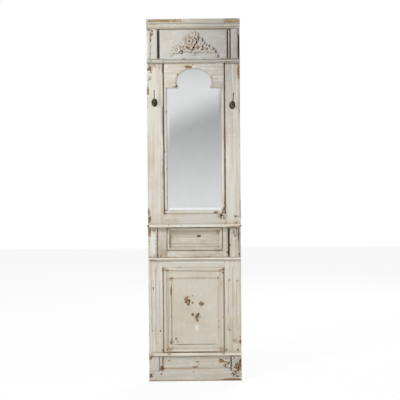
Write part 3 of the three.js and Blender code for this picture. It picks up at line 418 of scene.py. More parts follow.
along = g.vector("MULTIPLY", given["Vector"], (1, 1, 0.05))
ring = g.noise(along, 60, 4, 0.6)
pore = g.noise(along, 520, 3, 0.6)
dust = g.noise(given["Vector"], 9, 4)
saw_marks = {"Vector": given["Vector"], "Scale": 55, "Distortion": 1.5, "Detail": 2}
saw = g.add("ShaderNodeTexWave", saw_marks, bands_direction="Z").outputs["Fac"]
grained = g.mix(g.between(ring, 0.35, 0.65), given["Light"], given["Deep"])
pored = g.mix(g.between(pore, 0.52, 0.7, 0, 0.5), grained, PORE)
dusty = g.mix(g.between(dust, 0.45, 0.75, 0, 0.35), pored, DUST)
g.feed(result["Color"], dusty)
g.feed(result["Roughness"], g.between(dust, 0.3, 0.7, 0.78, 0.92))
sawn = g.math("ADD", g.times(pore, 0.5), g.times(saw, 0.25))
g.feed(result["Height"], sawn)
print("raw_wood", len(raw_wood.nodes), "nodes")

# %% [markdown]
# ## Where the panel is worn
#
# Each board has its own history, told as a list of knocks: what kind, where its middle lies and how
# far it reaches to each side, in millimetres. Noise alone would scatter wear evenly, and real wear
# has its reasons: fingers, a broom, damp from the floor. So every mark that can be seen is listed
# one by one, and noise only frays it.
#
# Bare is down to the wood, a stripe is bare and straight edged, dark is a black bruise or an open
# knot, and on the carving and the arch's edge it is painted shadow. A gap is a straight edged dark
# strip of painted shade in a deep joint and beside a block. Stain is brown and see-through, pale is
# a chalky rub, and a straight edged lighter stretch is mostly painted highlight where a ledge or
# moulding catches the light. Mould is greenish, and crazed is a patch of lifting, speckled paint.

# %% Knocks on the cornice and the frieze
CORNICE_KNOCKS = [
    ("stripe", -148, 1819, 85, 7),
    ("stripe", 193, 1817, 38, 8),
    ("dark", 185, 1828, 47, 2),
    ("stain", 197, 1796, 13, 6),
    ("stain", -205, 1801, 30, 4),
]
FRIEZE_KNOCKS = [
    ("crazed", -225, 1706, 11, 68),
    ("bare", -31, 1687, 7, 6),
    ("bare", -22, 1683, 5, 7),
    ("bare", 26, 1687, 7, 6),
    ("bare", 70, 1679, 5, 5),
    # The dark knocks on the carving are painted shadow: at the right of its raised parts and in the
    # holes between them.
    ("dark", 4, 1687, 6, 6),
    ("dark", -56, 1668, 5, 7),
    ("dark", -58, 1657, 4, 4),
    ("dark", 81, 1696, 4, 5),
    ("dark", 104, 1679, 4, 7),
    ("dark", 28, 1735, 4, 5),
    ("dark", 17, 1712, 4, 10),
    ("dark", 49, 1728, 4, 12),
    ("dark", 126, 1645, 4, 6),
    ("dark", 114, 1664, 4, 6),
    ("dark", -14, 1677, 4, 4),
    ("crazed", -212, 1755, 12, 26),
    ("crazed", -215, 1700, 6, 60),
    ("dark", -204, 1771, 5, 5),
    ("bare", -212, 1752, 6, 10),
    ("dark", -218, 1722, 3, 6),
    ("dark", -217, 1657, 3, 7),
    ("dark", -217, 1636, 3, 6),
    ("mould", 178, 1634, 11, 6),
    ("mould", 176, 1614, 20, 4),
    ("stain", 151, 1779, 9, 3),
    # The gaps are painted shade in the joints beside the frieze blocks.
    ("gap", -175, 1704, 7, 77),
    ("gap", 174, 1704, 3, 77),
    ("gap", 187, 1704, 2, 77),
]
print("knocks at the top:", len(CORNICE_KNOCKS) + len(FRIEZE_KNOCKS))

# %% [markdown]
# The stiles run the whole height, so their list is the longest. The left one is crazed at its top,
# and the outer arrises of both are bare in places: at shoulder height, beside the shelf and near
# the foot, where people and brooms touch them.

# %% Knocks on the stiles
STILE_KNOCKS = [
    ("crazed", -216, 1588, 15, 26),
    # The gaps are painted shade: in the joints beside the frieze blocks, and at the right the
    # shadow of the right frieze block on the stile.
    ("gap", -175, 1704, 7, 77),
    ("gap", 174, 1704, 4, 77),
    ("gap", 187, 1704, 3, 77),
    ("dark", 230, 1743, 4, 12),
    ("gap", 231, 1690, 6, 60),
    ("crazed", -220, 1586, 14, 19),
    ("crazed", -223, 1535, 11, 13),
    ("crazed", -229, 1507, 5, 16),
    ("bare", -230, 1472, 6, 25),
    ("stain", -196, 1598, 9, 15),
    ("stain", -171, 1590, 6, 23),
    ("bare", 229, 1565, 8, 38),
    ("bare", -231, 858, 6, 23),
    ("bare", -227, 820, 9, 20),
    ("bare", 234, 873, 4, 53),
    ("crazed", 216, 835, 16, 10),
    ("dark", 212, 803, 4, 5),
    ("bare", -231, 757, 8, 23),
    ("crazed", -230, 709, 5, 20),
    # Painted shade in the joint beside the right middle block.
    ("gap", 174, 704, 6, 78),
    ("dark", 225, 642, 4, 10),
    ("bare", -210, 472, 3, 10),
    ("dark", -216, 255, 3, 5),
    ("dark", -176, 254, 3, 6),
    ("bare", 229, 194, 6, 15),
    ("dark", 229, 222, 3, 5),
    ("stain", 204, 201, 15, 13),
    ("dark", 215, 154, 5, 5),
    ("mould", 176, 510, 8, 8),
    ("mould", 216, 508, 9, 6),
    ("mould", 176, 255, 8, 5),
    ("dark", -161, 563, 5, 7),
    ("dark", -161, 155, 6, 11),
    ("bare", 160, 156, 4, 9),
    ("bare", -232, 118, 4, 10),
]
print("knocks on the stiles:", len(STILE_KNOCKS))

# %% [markdown]
# Round the mirror the paint is sound but for the edge of the arch, which carries painted shadow
# along its left side, and the rail below, where damp has crazed both corners. The front edge of the
# shelf is painted lighter, a painted highlight where it catches the light.

# %% Knocks round the mirror and on the ledges
MIRROR_FRAME_KNOCKS = [
    # Painted shadow along the left inner edge of the arch.
    ("dark", -96, 1490, 16, 3),
    ("dark", -84, 1497, 4, 8),
    ("stain", -86, 1504, 7, 22),
    ("stain", 92, 1502, 8, 14),
    ("bare", -24, 1591, 19, 6),
    ("pale", 5, 1590, 13, 5),
    ("stain", 94, 1520, 8, 33),
    ("dark", -2, 1601, 3, 4),
    ("dark", -161, 859, 4, 12),
    ("crazed", -153, 856, 15, 17),
    ("bare", 111, 855, 13, 7),
    ("dark", 137, 843, 4, 5),
    ("crazed", 150, 862, 16, 18),
    ("crazed", 144, 833, 35, 13),
]
LEDGE_KNOCKS = [
    # A painted highlight along the front edge of the shelf, where it catches the light.
    ("lighter_strip", 0, 784, 215, 5),
    ("bare", -233, 787, 6, 8),
    ("stain", 199, 785, 35, 5),
    ("bare", 232, 787, 7, 6),
    ("bare", -212, 613, 25, 6),
    ("crazed", -222, 133, 14, 10),
]
print("knocks round the mirror:", len(MIRROR_FRAME_KNOCKS) + len(LEDGE_KNOCKS))

# %% [markdown]
# The lower half has the heaviest wear. Two long gaps, along the left and the bottom of the sunk
# field, are painted shade where the field's edge steps down, and the base is rubbed down to the
# wood at both ends.

# %% Knocks on the lower half
MIDDLE_KNOCKS = [
    ("lighter_strip", -210, 700, 13, 62),
    ("bare", -224, 757, 5, 23),
    ("dark", -204, 765, 3, 5),
    ("dark", -186, 641, 4, 8),
    ("dark", -172, 636, 3, 5),
    ("crazed", 206, 752, 16, 25),
    ("dark", 222, 739, 3, 35),
    ("dark", 23, 735, 11, 6),
    ("bare", 17, 735, 5, 5),
    ("stain", -133, 770, 6, 10),
    ("stain", -125, 720, 6, 39),
    ("stain", 116, 757, 8, 15),
    ("stain", 117, 680, 9, 4),
    ("stain", -154, 651, 20, 23),
    ("stain", 118, 664, 20, 13),
]
LOWER_KNOCKS = [
    # Painted highlights on the bottom moulding and on the rail under the middle ledge, where they
    # catch the light.
    ("lighter_strip", -5, 155, 150, 5),
    ("lighter_strip", -5, 604, 150, 4),
    # Painted shade along the bottom and the left of the sunk field, and brown glaze with painted
    # shade along its top and right.
    ("gap", 0, 183.5, 112, 1.3),
    ("gap", -118.5, 345, 1.2, 160),
    ("stain", 0, 521, 125, 3),
    ("stain", 118, 350, 3, 175),
    ("stain", -118, 516, 14, 12),
    ("bare", -119, 521, 8, 5),
    ("bare", -152, 566, 5, 4),
    ("stain", -142, 562, 16, 9),
    ("bare", 141, 566, 6, 4),
    ("stain", 132, 560, 16, 9),
    ("stain", 134, 158, 16, 10),
    ("bare", -122, 453, 4, 24),
    ("dark", 118, 522, 3, 6),
    ("bare", -41, 409, 13, 21),
    ("dark", -28, 402, 5, 13),
    ("bare", -33, 389, 6, 9),
    ("dark", -13, 395, 4, 6),
    ("dark", -13, 431, 3, 3),
    ("bare", 32, 389, 12, 14),
    ("dark", -41, 366, 3, 4),
    ("bare", -11, 335, 7, 9),
    ("bare", 7, 322, 10, 14),
    ("dark", 18, 336, 6, 7),
    ("bare", 11, 307, 7, 11),
    ("stain", 26, 323, 5, 8),
    ("pale", 9, 268, 11, 22),
    ("dark", -98, 212, 5, 6),
    ("dark", -91, 200, 2, 5),
    ("stain", -120, 197, 9, 17),
    ("dark", -123, 191, 3, 12),
    ("dark", 143, 548, 4, 6),
    ("bare", -142, 158, 4, 5),
    ("stain", -128, 160, 20, 12),
]
BASE_KNOCKS = [
    ("bare", -224, 118, 5, 11),
    ("stain", -164, 103, 6, 20),
    ("bare", -169, 66, 13, 13),
    ("bare", -134, 103, 5, 5),
    ("bare", 11, 96, 9, 3),
    ("dark", 17, 84, 2, 3),
    ("bare", -3, 71, 15, 5),
    ("bare", 131, 101, 13, 11),
    ("crazed", 168, 90, 32, 36),
    ("crazed", 209, 91, 30, 42),
    ("bare", 217, 72, 20, 21),
    ("bare", 228, 98, 8, 20),
    # Painted shade in the joint beside the right base block.
    ("gap", 182, 90, 3, 38),
    ("dark", -222, 38, 13, 2),
    ("bare", -226, 28, 7, 8),
    ("dark", -219, 25, 4, 4),
    ("dark", -172, 37, 5, 4),
    ("dark", 191, 35, 4, 5),
    ("dark", 211, 22, 6, 5),
    ("bare", 182, 4, 55, 9),
    ("bare", -207, 2, 30, 4),
    ("crazed", 204, 36, 32, 16),
]
print("knocks on the lower half:", len(MIDDLE_KNOCKS) + len(LOWER_KNOCKS) + len(BASE_KNOCKS))

# %% [markdown]
# One recipe makes every painted material. It lays the grain along the board, sets each knock,
# darkens with brown glaze and painted shade wherever little light reaches, and leaves raw wood on
# the faces that look at the wall and on the last millimetres of the edges beside it, where the
# brush never came. The wear value comes from the mesh itself, where the arrises are knocked back.
#
# Painting on an unwrapped image would do the same for one board. A recipe does it for all of them,
# and the only things that change from board to board are its few colours and its list of knocks.

# %% Helpers for the finishes
MASK_OF = {
    "bare": "Bare",
    "stripe": "Bare",
    "dark": "Dark",
    "gap": "Dark",
    "stain": "Stain",
    "pale": "Pale",
    "lighter_strip": "Pale",
    "mould": "Mould",
    "crazed": "Crazed",
}
STRAIGHT_EDGED = ("stripe", "gap", "lighter_strip")
UNFRAYED = 0.5
THROUGH_AND_THROUGH = 1000


def group_node(g, tree, inputs):
    """Places a shared group in a material, with this material's own values."""
    node = g.add("ShaderNodeGroup", node_tree=tree)
    for key, value in inputs.items():
        g.feed(node.inputs[key], value)
    return node.outputs


def principled(g, inputs):
    shader = g.add("ShaderNodeBsdfPrincipled", inputs).outputs[0]
    g.add("ShaderNodeOutputMaterial", {0: shader})


def new_finish(name):
    material = bpy.data.materials.new(name)
    material.use_nodes = True
    material.node_tree.nodes.clear()
    return material, Graph(material.node_tree)


def cover(name, finish):
    """Gives a ready made solid its finish."""
    nodes[name].data.materials.clear()
    nodes[name].data.materials.append(finish)


def grain_vector(g, place, grain):
    """The place with its third part along the grain."""
    if grain == "z":
        return place
    parts = g.split(place)
    turned = {0: parts["Z"], 1: parts["Y"], 2: parts["X"]}
    return g.add("ShaderNodeCombineXYZ", turned).outputs[0]


def knock_masks(g, place, ragged, knocks):
    """One mask for each kind of damage, the largest of all its knocks."""
    masks = {}
    for kind, x, z, half_width, half_height in knocks:
        centre = on_panel(x, z)
        inputs = {
            "Vector": place,
            "Centre": (centre.x, 0, centre.z),
            "Half Size": (half_width * MM, THROUGH_AND_THROUGH, half_height * MM),
            "Ragged": UNFRAYED if kind == "gap" else ragged,
            "Square": 1.0 if kind in STRAIGHT_EDGED else 0.0,
        }
        mask = group_node(g, knock, inputs)["Mask"]
        masks.setdefault(MASK_OF[kind], []).append(mask)
    return {name: g.largest(parts) for name, parts in masks.items()}


print("helpers for the finishes ready")

# %% [markdown]
# Brown glaze settles where the air is still, and shade falls in the same places, so the darkening
# there is brown glaze and painted shade at once. An ambient occlusion node finds those places: it
# looks a short way out from each point and sees how much is shut off. It is asked twice, 16 mm out
# for the broad painted shade in a corner and 4.5 mm out for the fine dark line along a joint. The
# paint is also dulled towards the upper right.

# %% The painted finish
CREAM, BEIGE, TAN = colour(211, 206, 195), colour(198, 186, 164), colour(168, 138, 104)
SOFTWOOD = (colour(168, 134, 92), colour(128, 96, 62))
HARDBOARD = (colour(150, 112, 74), colour(134, 98, 64))
UPPER_RIGHT_DULLING = (0.70, 0.71, 0.73)
DULLING_FROM, DULLING_TO = on_panel(0, 1100).z, on_panel(0, 1560).z
CORNER, JOINT = 16 * MM, 4.5 * MM
UNPAINTED_EDGE = -0.007


def dulled_upper_right(g, dulling, paint):
    return g.mix(dulling, paint, tuple(part * dulled for part, dulled in zip(paint, UPPER_RIGHT_DULLING)))


def shut_off(g, distance):
    node = g.add("ShaderNodeAmbientOcclusion", {"Distance": distance}, samples=6)
    return node.outputs["AO"]


def painted_finish(
    name,
    knocks,
    grain="z",
    paint=CREAM,
    undercoat=BEIGE,
    streaks=0.6,
    glaze_and_shade=0.78,
    wood=TAN,
    raw=SOFTWOOD,
):
    material, g = new_finish(name)
    place = g.place()
    parts = g.split(place)
    # The paint is made darker and greyer towards the upper right.
    high = g.between(parts["Z"], DULLING_FROM, DULLING_TO)
    dulling = g.times(high, g.between(parts["X"], -0.12, 0.20))
    paint, undercoat = dulled_upper_right(g, dulling, paint), dulled_upper_right(g, dulling, undercoat)
    vector = grain_vector(g, place, grain)
    ragged = g.noise(place, 105, 6, 0.74)
    masks = knock_masks(g, place, ragged, knocks)
    rubbed = g.add("ShaderNodeAttribute", attribute_name="wear").outputs["Fac"]
    frayed = g.math("ADD", rubbed, g.times(g.math("SUBTRACT", ragged, 0.5), 1.5))
    gone = g.between(frayed, 0.42, 0.56)
    masks["Bare"] = g.math("MAXIMUM", masks.get("Bare", 0.0), gone)
    # Ambient occlusion darkens corners and joints: brown glaze and painted shade at once.
    corner, joint = shut_off(g, CORNER), shut_off(g, JOINT)
    recess_glaze_and_shade = g.add("ShaderNodeAttribute", attribute_name="glaze_and_shade").outputs["Fac"]
    broad = g.between(corner, 0.93, 0.06, 0, glaze_and_shade)
    fine = g.between(joint, 0.92, 0.35, 0, 0.8 * glaze_and_shade)
    masks["GlazeAndShade"] = g.math("MAXIMUM", g.math("MAXIMUM", broad, fine), recess_glaze_and_shade)
    colours = {"Paint": paint, "Undercoat": undercoat, "Wood": wood}
    coat = group_node(g, old_paint, {"Vector": vector, "Streaks": streaks, **colours, **masks})
    back = group_node(g, raw_wood, {"Vector": vector, "Light": raw[0], "Deep": raw[1]})
    facing = g.split(g.place("Normal"))
    near_wall = g.math("ADD", parts["Y"], g.times(g.math("SUBTRACT", ragged, 0.5), 6 * MM))
    faces_wall = g.between(facing["Y"], 0.6, 0.8)
    unpainted = g.between(near_wall, UNPAINTED_EDGE, UNPAINTED_EDGE + 1 * MM)
    behind = g.math("MAXIMUM", faces_wall, unpainted)
    rough, height = (
        g.add("ShaderNodeMix", {0: behind, 2: coat[value], 3: back[value]}).outputs[0]
        for value in ("Roughness", "Height")
    )
    bump = g.add("ShaderNodeBump", {"Height": height, "Distance": 0.9 * MM, "Strength": 0.7})
    principled(
        g,
        {
            "Base Color": g.mix(behind, coat["Color"], back["Color"]),
            "Roughness": rough,
            "Normal": bump.outputs[0],
            "Specular IOR Level": 0.3,
        },
    )
    return material


print("one recipe for", len(set(MASK_OF.values())), "kinds of mask")

# %% [markdown]
# The panel was painted a part at a time, so its tones change from band to band: cool and grey at
# the frieze, warmer and more streaked round the middle panel. A band lists the boards that share a
# tone and a list of knocks. Boards that run across get their grain along x, the others along z, so
# a band makes one or two materials.

# %% Bands and tones
BANDS = {
    "cornice": (CORNICE_KNOCKS, ["cornice_board"]),
    "frieze": (
        FRIEZE_KNOCKS,
        [
            "frieze_panel",
            "frieze_fillet",
            "left_frieze_block",
            "right_frieze_block",
            "frieze_moulding",
        ],
    ),
    "stile": (STILE_KNOCKS, ["left_stile", "right_stile"]),
    "mirror_frame": (
        MIRROR_FRAME_KNOCKS,
        [
            "arch_board",
            "left_mirror_bead",
            "right_mirror_bead",
            "bottom_mirror_bead",
            "mirror_rail",
            "frieze_rail",
        ],
    ),
    "ledge": (LEDGE_KNOCKS, ["shelf_ledge", "middle_ledge", "base_ledge"]),
    "middle": (
        MIDDLE_KNOCKS,
        [n for n in nodes if n.startswith("middle_") and "ledge" not in n]
        + ["left_middle_block", "right_middle_block"],
    ),
    "lower": (LOWER_KNOCKS, [n for n in nodes if n.startswith("lower_")] + ["bottom_rail"]),
    "base": (
        BASE_KNOCKS,
        [
            "left_base_block",
            "right_base_block",
            "base_panel",
            "base_side_strip",
            "base_cove",
            "plinth_board",
        ],
    ),
}
TONES = {
    "cornice": {
        "paint": colour(198, 194, 184),
        "undercoat": colour(184, 174, 156),
        "wood": colour(178, 158, 118),
        "streaks": 0.5,
    },
    "frieze": {
        "paint": colour(198, 196, 189),
        "undercoat": colour(187, 180, 168),
        "streaks": 0.12,
        "glaze_and_shade": 1.0,
    },
    "stile": {"glaze_and_shade": 0.6},
    "mirror_frame": {"paint": colour(208, 205, 197), "glaze_and_shade": 0.55},
    # The ledges' lighter paint also stands for the light their tops and fronts catch: partly
    # painted highlight.
    "ledge": {
        "paint": colour(230, 226, 216),
        "undercoat": colour(214, 202, 180),
        "streaks": 0.4,
    },
    "middle": {
        "paint": colour(196, 189, 175),
        "undercoat": colour(180, 167, 145),
        "streaks": 0.8,
        "glaze_and_shade": 0.9,
    },
    "lower": {"paint": colour(207, 201, 188), "streaks": 0.1, "glaze_and_shade": 0.85},
    "base": {"paint": colour(199, 194, 184), "glaze_and_shade": 0.9},
}
print(len(BANDS), "bands")

# %% [markdown]
# A material for each band and direction of grain is made once and shared. The grain follows the
# long side of a board, and a board counts as lying across only when it is clearly wider than tall.

# %% A finish for every board
ACROSS = 1.3
finishes = {}
finish_of = {}
for band, (knocks, members) in BANDS.items():
    for member in members:
        low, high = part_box(member)
        grain = "x" if high.x - low.x > ACROSS * (high.z - low.z) else "z"
        key = f"{band}_paint_{grain}"
        if key not in finishes:
            finishes[key] = painted_finish(key, knocks, grain, **TONES[band])
        finish_of[member] = finishes[key]
        cover(member, finishes[key])
finish_of["carved_spray"] = finishes["frieze_paint_x"]
cover("carved_spray", finish_of["carved_spray"])
print(len(finishes), "painted finishes on", len(finish_of), "solids")

# %% [markdown]
# ## Glass, metal and rubber
#
# A mirror is silver behind clear glass. The layer could be modelled behind a real pane, but a pane
# this thin shows nothing of its own. So the glass takes the silver's metal, a touch darker than the
# room, with the faint haze of age and a few dark specks where the silver has lifted.

# %% Mirror
SILVER, CLEAN_SILVER, FOXED = (0.86, 0.87, 0.875), (0.88, 0.885, 0.885), (0.45, 0.43, 0.40)

silver, g = new_finish("silvered_glass")
place = g.place()
haze = g.noise(place, 14, 4)
foxing = g.between(g.noise(place, 240, 4, 0.7), 0.70, 0.78, 0, 0.35)
tint = g.mix(g.between(haze, 0.4, 0.7), SILVER, CLEAN_SILVER)
principled(
    g,
    {
        "Base Color": g.mix(foxing, tint, FOXED),
        "Metallic": 1.0,
        "Roughness": g.between(haze, 0.35, 0.7, 0.012, 0.03),
    },
)
print("mirror", len(silver.node_tree.nodes), "nodes")

# %% [markdown]
# The coat hooks are cast bronze gone almost black, with olive patina in patches. A half metal with
# a rough cast skin gives the dull gleam of such a casting: full metal would be too bright, and none
# would look like plastic.

# %% Bronze
bronze, g = new_finish("dark_bronze")
place = g.place()
cast = g.noise(place, 320, 4, 0.6)
patina = g.noise(place, 95, 4, 0.62)
tone = g.mix(g.between(cast, 0.5, 0.72, 0, 0.5), colour(30, 27, 24), colour(62, 55, 46))
skin = {"Height": cast, "Distance": 0.3 * MM, "Strength": 0.4}
principled(
    g,
    {
        "Base Color": g.mix(g.between(patina, 0.54, 0.62, 0, 0.8), tone, colour(118, 112, 72)),
        "Metallic": 0.35,
        "Roughness": g.between(patina, 0.4, 0.65, 0.16, 0.42),
        "Normal": g.add("ShaderNodeBump", skin).outputs[0],
    },
)
print("bronze", len(bronze.node_tree.nodes), "nodes")

# %% [markdown]
# The ring hangers, their screws, the studs and the nails are zinc plated steel. Zinc is bright but
# never even, so its tone drifts in a bloom, fine scratches run down it and a little rust shows. The
# bumpers at the foot are black rubber, scuffed grey.

# %% Plated steel and rubber
steel, g = new_finish("plated_steel")
place = g.place()
scratch = g.noise(g.vector("MULTIPLY", place, (1, 1, 0.1)), 900, 3)
bloom = g.noise(place, 150, 4)
tone = g.mix(g.between(bloom, 0.4, 0.7), colour(198, 196, 188), colour(168, 164, 150))
principled(
    g,
    {
        "Base Color": g.mix(g.between(bloom, 0.68, 0.8, 0, 0.6), tone, colour(128, 96, 66)),
        "Metallic": 1.0,
        "Roughness": g.between(scratch, 0.3, 0.7, 0.28, 0.5),
    },
)

rubber, g = new_finish("black_rubber")
place = g.place()
scuff = g.noise(place, 300, 4, 0.65)
scuffed = g.mix(g.between(scuff, 0.5, 0.75, 0, 0.5), colour(36, 36, 38), colour(84, 82, 78))
principled(
    g,
    {
        "Base Color": scuffed,
        "Roughness": g.between(scuff, 0.3, 0.7, 0.75, 0.95),
        "Normal": g.add("ShaderNodeBump", {"Height": scuff, "Distance": 0.3 * MM}).outputs[0],
    },
)
print("steel and rubber", len(steel.node_tree.nodes), "and", len(rubber.node_tree.nodes), "nodes")

# %% [markdown]
# The board behind the glass is pressed wood. A narrow gap beside the glass shows a strip of its
# front, which is painted like the frame, and its back is left brown. Its finish is the same recipe
# as the boards have, without any knocks. With it, every solid that isn't replaced has its finish.

# %% Backing board and metal parts
backing_finish = painted_finish("backing_paint", [], glaze_and_shade=0.5, raw=HARDBOARD)
FINISH_OF_PART = {
    "coat_hook": bronze,
    "hook_stud": steel,
    "hanger": steel,
    "bumper": rubber,
    "mirror_glass": silver,
    "mirror_backing": backing_finish,
}
for name in nodes:
    for part, finish in FINISH_OF_PART.items():
        if part in name:
            cover(name, finish)
print("all", len(nodes), "nodes have a finish")

# %% [markdown]
# ## Worn boards
#
# Ready made solids have razor sharp arrises, and old joinery has none. A bevel modifier would round
# every edge by the same amount. Here each board is copied, cut into short lengths, bevelled a
# little, and then the points along its arrises are pushed into the wood by a noise, so an edge is
# sound in one place and chipped in the next. The depth of each chip is kept on the mesh as wear,
# and the paint is missing exactly there.
#
# A thin moulding can't lose as much as a stile, so both the bite and the round are held to a share
# of the board's thickness.

# %% A board with worn arrises
PITCH = 0.009
BITE, BITE_SHARE = 2.6 * MM, 0.11
ROUND, ROUND_SHARE = 1.2 * MM, 0.05
SOUND = 0.24


def arrises(bm, least):
    """The convex edges that turn by more than least."""
    found = []
    for edge in bm.edges:
        if len(edge.link_faces) == 2 and edge.is_convex and edge.calc_face_angle(0) > least:
            found.append(edge)
    return found


def slice_up(bm, low, high, pitch):
    """Cuts the board across all three ways, a little unevenly."""
    for axis in range(3):
        normal = Vector([1.0 if axis == k else 0.0 for k in range(3)])
        lengths = int((high[axis] - low[axis]) / pitch)
        for number in range(1, lengths):
            point = low.lerp(high, number / lengths) + normal * random.uniform(-0.2, 0.2) * pitch
            whole = bm.verts[:] + bm.edges[:] + bm.faces[:]
            bmesh.ops.bisect_plane(bm, geom=whole, plane_co=point, plane_no=normal, dist=1e-6)


def worn_board(name):
    """A worn copy of one solid, its open edges and the share of its volume that it lost."""
    random.seed(name)
    low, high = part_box(name)
    thin = min(high - low)
    bite = min(BITE, BITE_SHARE * thin)
    bm = bmesh.new()
    bm.from_mesh(nodes[name].data)
    bmesh.ops.remove_doubles(bm, verts=bm.verts, dist=2e-6)
    bmesh.ops.dissolve_limit(bm, angle_limit=0.006, verts=bm.verts, edges=bm.edges)
    volume = bm.calc_volume()
    slice_up(bm, low, high, PITCH)
    bmesh.ops.bevel(
        bm,
        geom=arrises(bm, math.radians(50)),
        offset=min(ROUND, ROUND_SHARE * thin),
        segments=2,
        profile=0.55,
        affect="EDGES",
        clamp_overlap=True,
    )
    wear = bm.verts.layers.float.new("wear")
    bm.normal_update()
    touched = {v for e in arrises(bm, math.radians(20)) for v in e.verts}
    moves = {}
    for vertex in touched:
        place = vertex.co + Vector((0, 0, 0.37 * len(name)))
        rough = noise.noise(place * 55) + 0.6 * noise.noise(place * 160)
        depth = max(0.0, rough - SOUND) * bite
        moves[vertex] = -vertex.normal * depth
        vertex[wear] = min(1.0, max(0.0, (depth - 0.25 * bite) / (0.2 * bite)))
    for vertex, move in moves.items():
        vertex.co += move
    open_edges = sum(1 for e in bm.edges if len(e.link_faces) != 2)
    change = bm.calc_volume() / volume - 1
    return bm, open_edges, change


print("chips up to", round(BITE / MM, 1), "mm")

# %% [markdown]
# Every piece made here is turned into an object in the same way: it takes a finish, is shaded
# smooth but for its sharp edges and rides on the panel's body. One function does that, so no piece
# can be left behind when the panel moves.
#
# A worn board replaces its solid only if its mesh is closed and it lost less than 6% of its volume.

# %% Worn boards in place
MOST_LOST = 0.06


def new_piece(name, bm, finish, smooth=math.radians(40)):
    mesh = bpy.data.meshes.new(name)
    bm.to_mesh(mesh)
    bm.free()
    mesh.materials.append(finish)
    mesh.shade_smooth()
    mesh.set_sharp_from_angle(angle=smooth)
    piece = bpy.data.objects.new(name, mesh)
    scene.collection.objects.link(piece)
    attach(piece, "panel")
    return piece


faces_made = 0
for name, finish in finish_of.items():
    if name == "carved_spray":
        continue
    bm, open_edges, change = worn_board(name)
    faces = len(bm.faces)
    print(f"{name:26s} {faces:6d} faces, open edges {open_edges}, volume {100 * change:+.2f} %")
    if open_edges or not -MOST_LOST < change < 0.001:
        bm.free()
        continue
    board = new_piece(name + "_worn", bm, finish)
    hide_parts(name)
    faces_made += faces
print(faces_made, "faces on worn boards")

# %% [markdown]
# ## The carved spray
#
# A rose between leaves and smaller flowers sits on the frieze. A carver works such an onlay from
# one thin board: nothing is undercut much, so its whole surface can be told as one height above the
# panel for every point. Sculpting by hand would give the same, but heights from a few formulas are
# easy to move and to read. A leaf, a flower and a rose each give a height field, and at every point
# the highest one wins, which leaves a sharp crease wherever two of them meet.

# %% A sheet of points to carve
CARVE_STEP = 0.72
SUNK = -4.0
across, upwards = np.arange(-134, 138, CARVE_STEP), np.arange(1633, 1777, CARVE_STEP)
carve_x, carve_z = np.meshgrid(across, upwards)


def leaf(x, z, length, width, angle, height, curl=0.0):
    """A leaf rooted at (x, z), pointing angle degrees up from the right, bending aside by curl."""
    turn = math.radians(angle)
    ahead = ((carve_x - x) * math.cos(turn) + (carve_z - z) * math.sin(turn)) / length
    aside = -(carve_x - x) * math.sin(turn) + (carve_z - z) * math.cos(turn)
    aside = aside - curl * length * ahead**2
    along = np.clip(ahead, 0, 1)
    half = width / 2 * np.sin(math.pi * along**0.75) ** 0.75 + 0.4
    lobes = 1 + 0.13 * np.sin(along * 19 + 1.2 * np.sign(aside))
    off = np.abs(aside) / (half * lobes)
    rise = height * (0.62 + 0.5 * np.sin(math.pi * along**0.6))
    veins = 0.55 * np.sin(along * 19 - off * 3.2) * np.clip(off, 0, 1)
    rib = 1.3 * np.exp(-((aside / 1.1) ** 2))
    body = rise * (1 - 0.55 * off**2) - rib + veins
    past_side = 5.0 * half * np.clip(off - 0.86, 0, None)
    past_end = 80 * np.clip(np.abs(ahead - 0.5) - 0.5, 0, None)
    return np.maximum(body - (past_side + past_end), SUNK)


def flower(x, z, radius, petals, height, turn=0.0):
    """Cupped petals round a button."""
    far = np.hypot(carve_x - x, carve_z - z)
    around = np.arctan2(carve_z - z, carve_x - x) * petals / 2 + turn
    edge = radius * (0.80 + 0.20 * np.abs(np.cos(around)) ** 0.6)
    cup = height * (0.42 + 0.58 * (far / edge) ** 1.6)
    outer = np.clip(far / radius * 2 - 0.5, 0, 1)
    split = 2.4 * np.exp(-((np.cos(around) * far / 2.2) ** 2)) * outer
    petal = cup - split - 3.6 * np.clip(far - edge, 0, None)
    button = height * 0.95 - 5.5 * (far / (radius * 0.30)) ** 2
    return np.maximum(np.maximum(petal, button), SUNK)


def rose(x, z, radius, height):
    """Four rings of shells, each one smaller, turned and higher than the one round it."""
    total = np.full(carve_x.shape, SUNK)
    far = np.hypot(carve_x - x, carve_z - z)
    for ring in range(4):
        size = radius * (1, 0.74, 0.48, 0.24)[ring]
        petals = (5, 5, 4, 3)[ring]
        around = np.arctan2(carve_z - z, carve_x - x) * petals / 2 + 0.9 * ring
        edge = size * (0.84 + 0.16 * np.abs(np.cos(around)) ** 0.5)
        low = height * (0.30, 0.42, 0.55, 0.66)[ring]
        high = height * (0.72, 0.84, 0.94, 1.0)[ring]
        split = 1.5 * np.exp(-((np.cos(around) * far / 1.8) ** 2))
        past_edge = 3.6 * np.clip(far - edge, 0, None)
        shell = low + (high - low) * (far / edge) ** 3 - split - past_edge
        total = np.maximum(total, np.where(far < edge + 6, shell, SUNK))
    return total


def scroll(x, z, radius, width, start, end, height):
    """A curled acanthus lobe: part of a ring, thickest halfway."""
    far = np.hypot(carve_x - x, carve_z - z)
    angle = np.degrees(np.arctan2(carve_z - z, carve_x - x))
    along = (angle - start) % 360 / ((end - start) % 360)
    half = width / 2 * np.sin(math.pi * np.clip(along, 0, 1)) ** 0.6 + 0.3
    off = np.abs(far - radius) / half
    rise = height * (1 - 0.45 * off**2) - 0.8 * np.exp(-(((off - 0.45) * half / 0.9) ** 2))
    lobe = np.maximum(rise - 3.2 * half * np.clip(off - 0.9, 0, None), SUNK)
    return np.where(along <= 1, lobe, SUNK)


print("carving sheet", carve_x.shape, "points")

# %% [markdown]
# The rose sits left of the middle, two flowers beside it at the foot, one more towards each end,
# and the leaves fan out between and above them, with a scroll where a stem ends. Each line gives a
# place and a size in millimetres, in the order of its function's arguments.

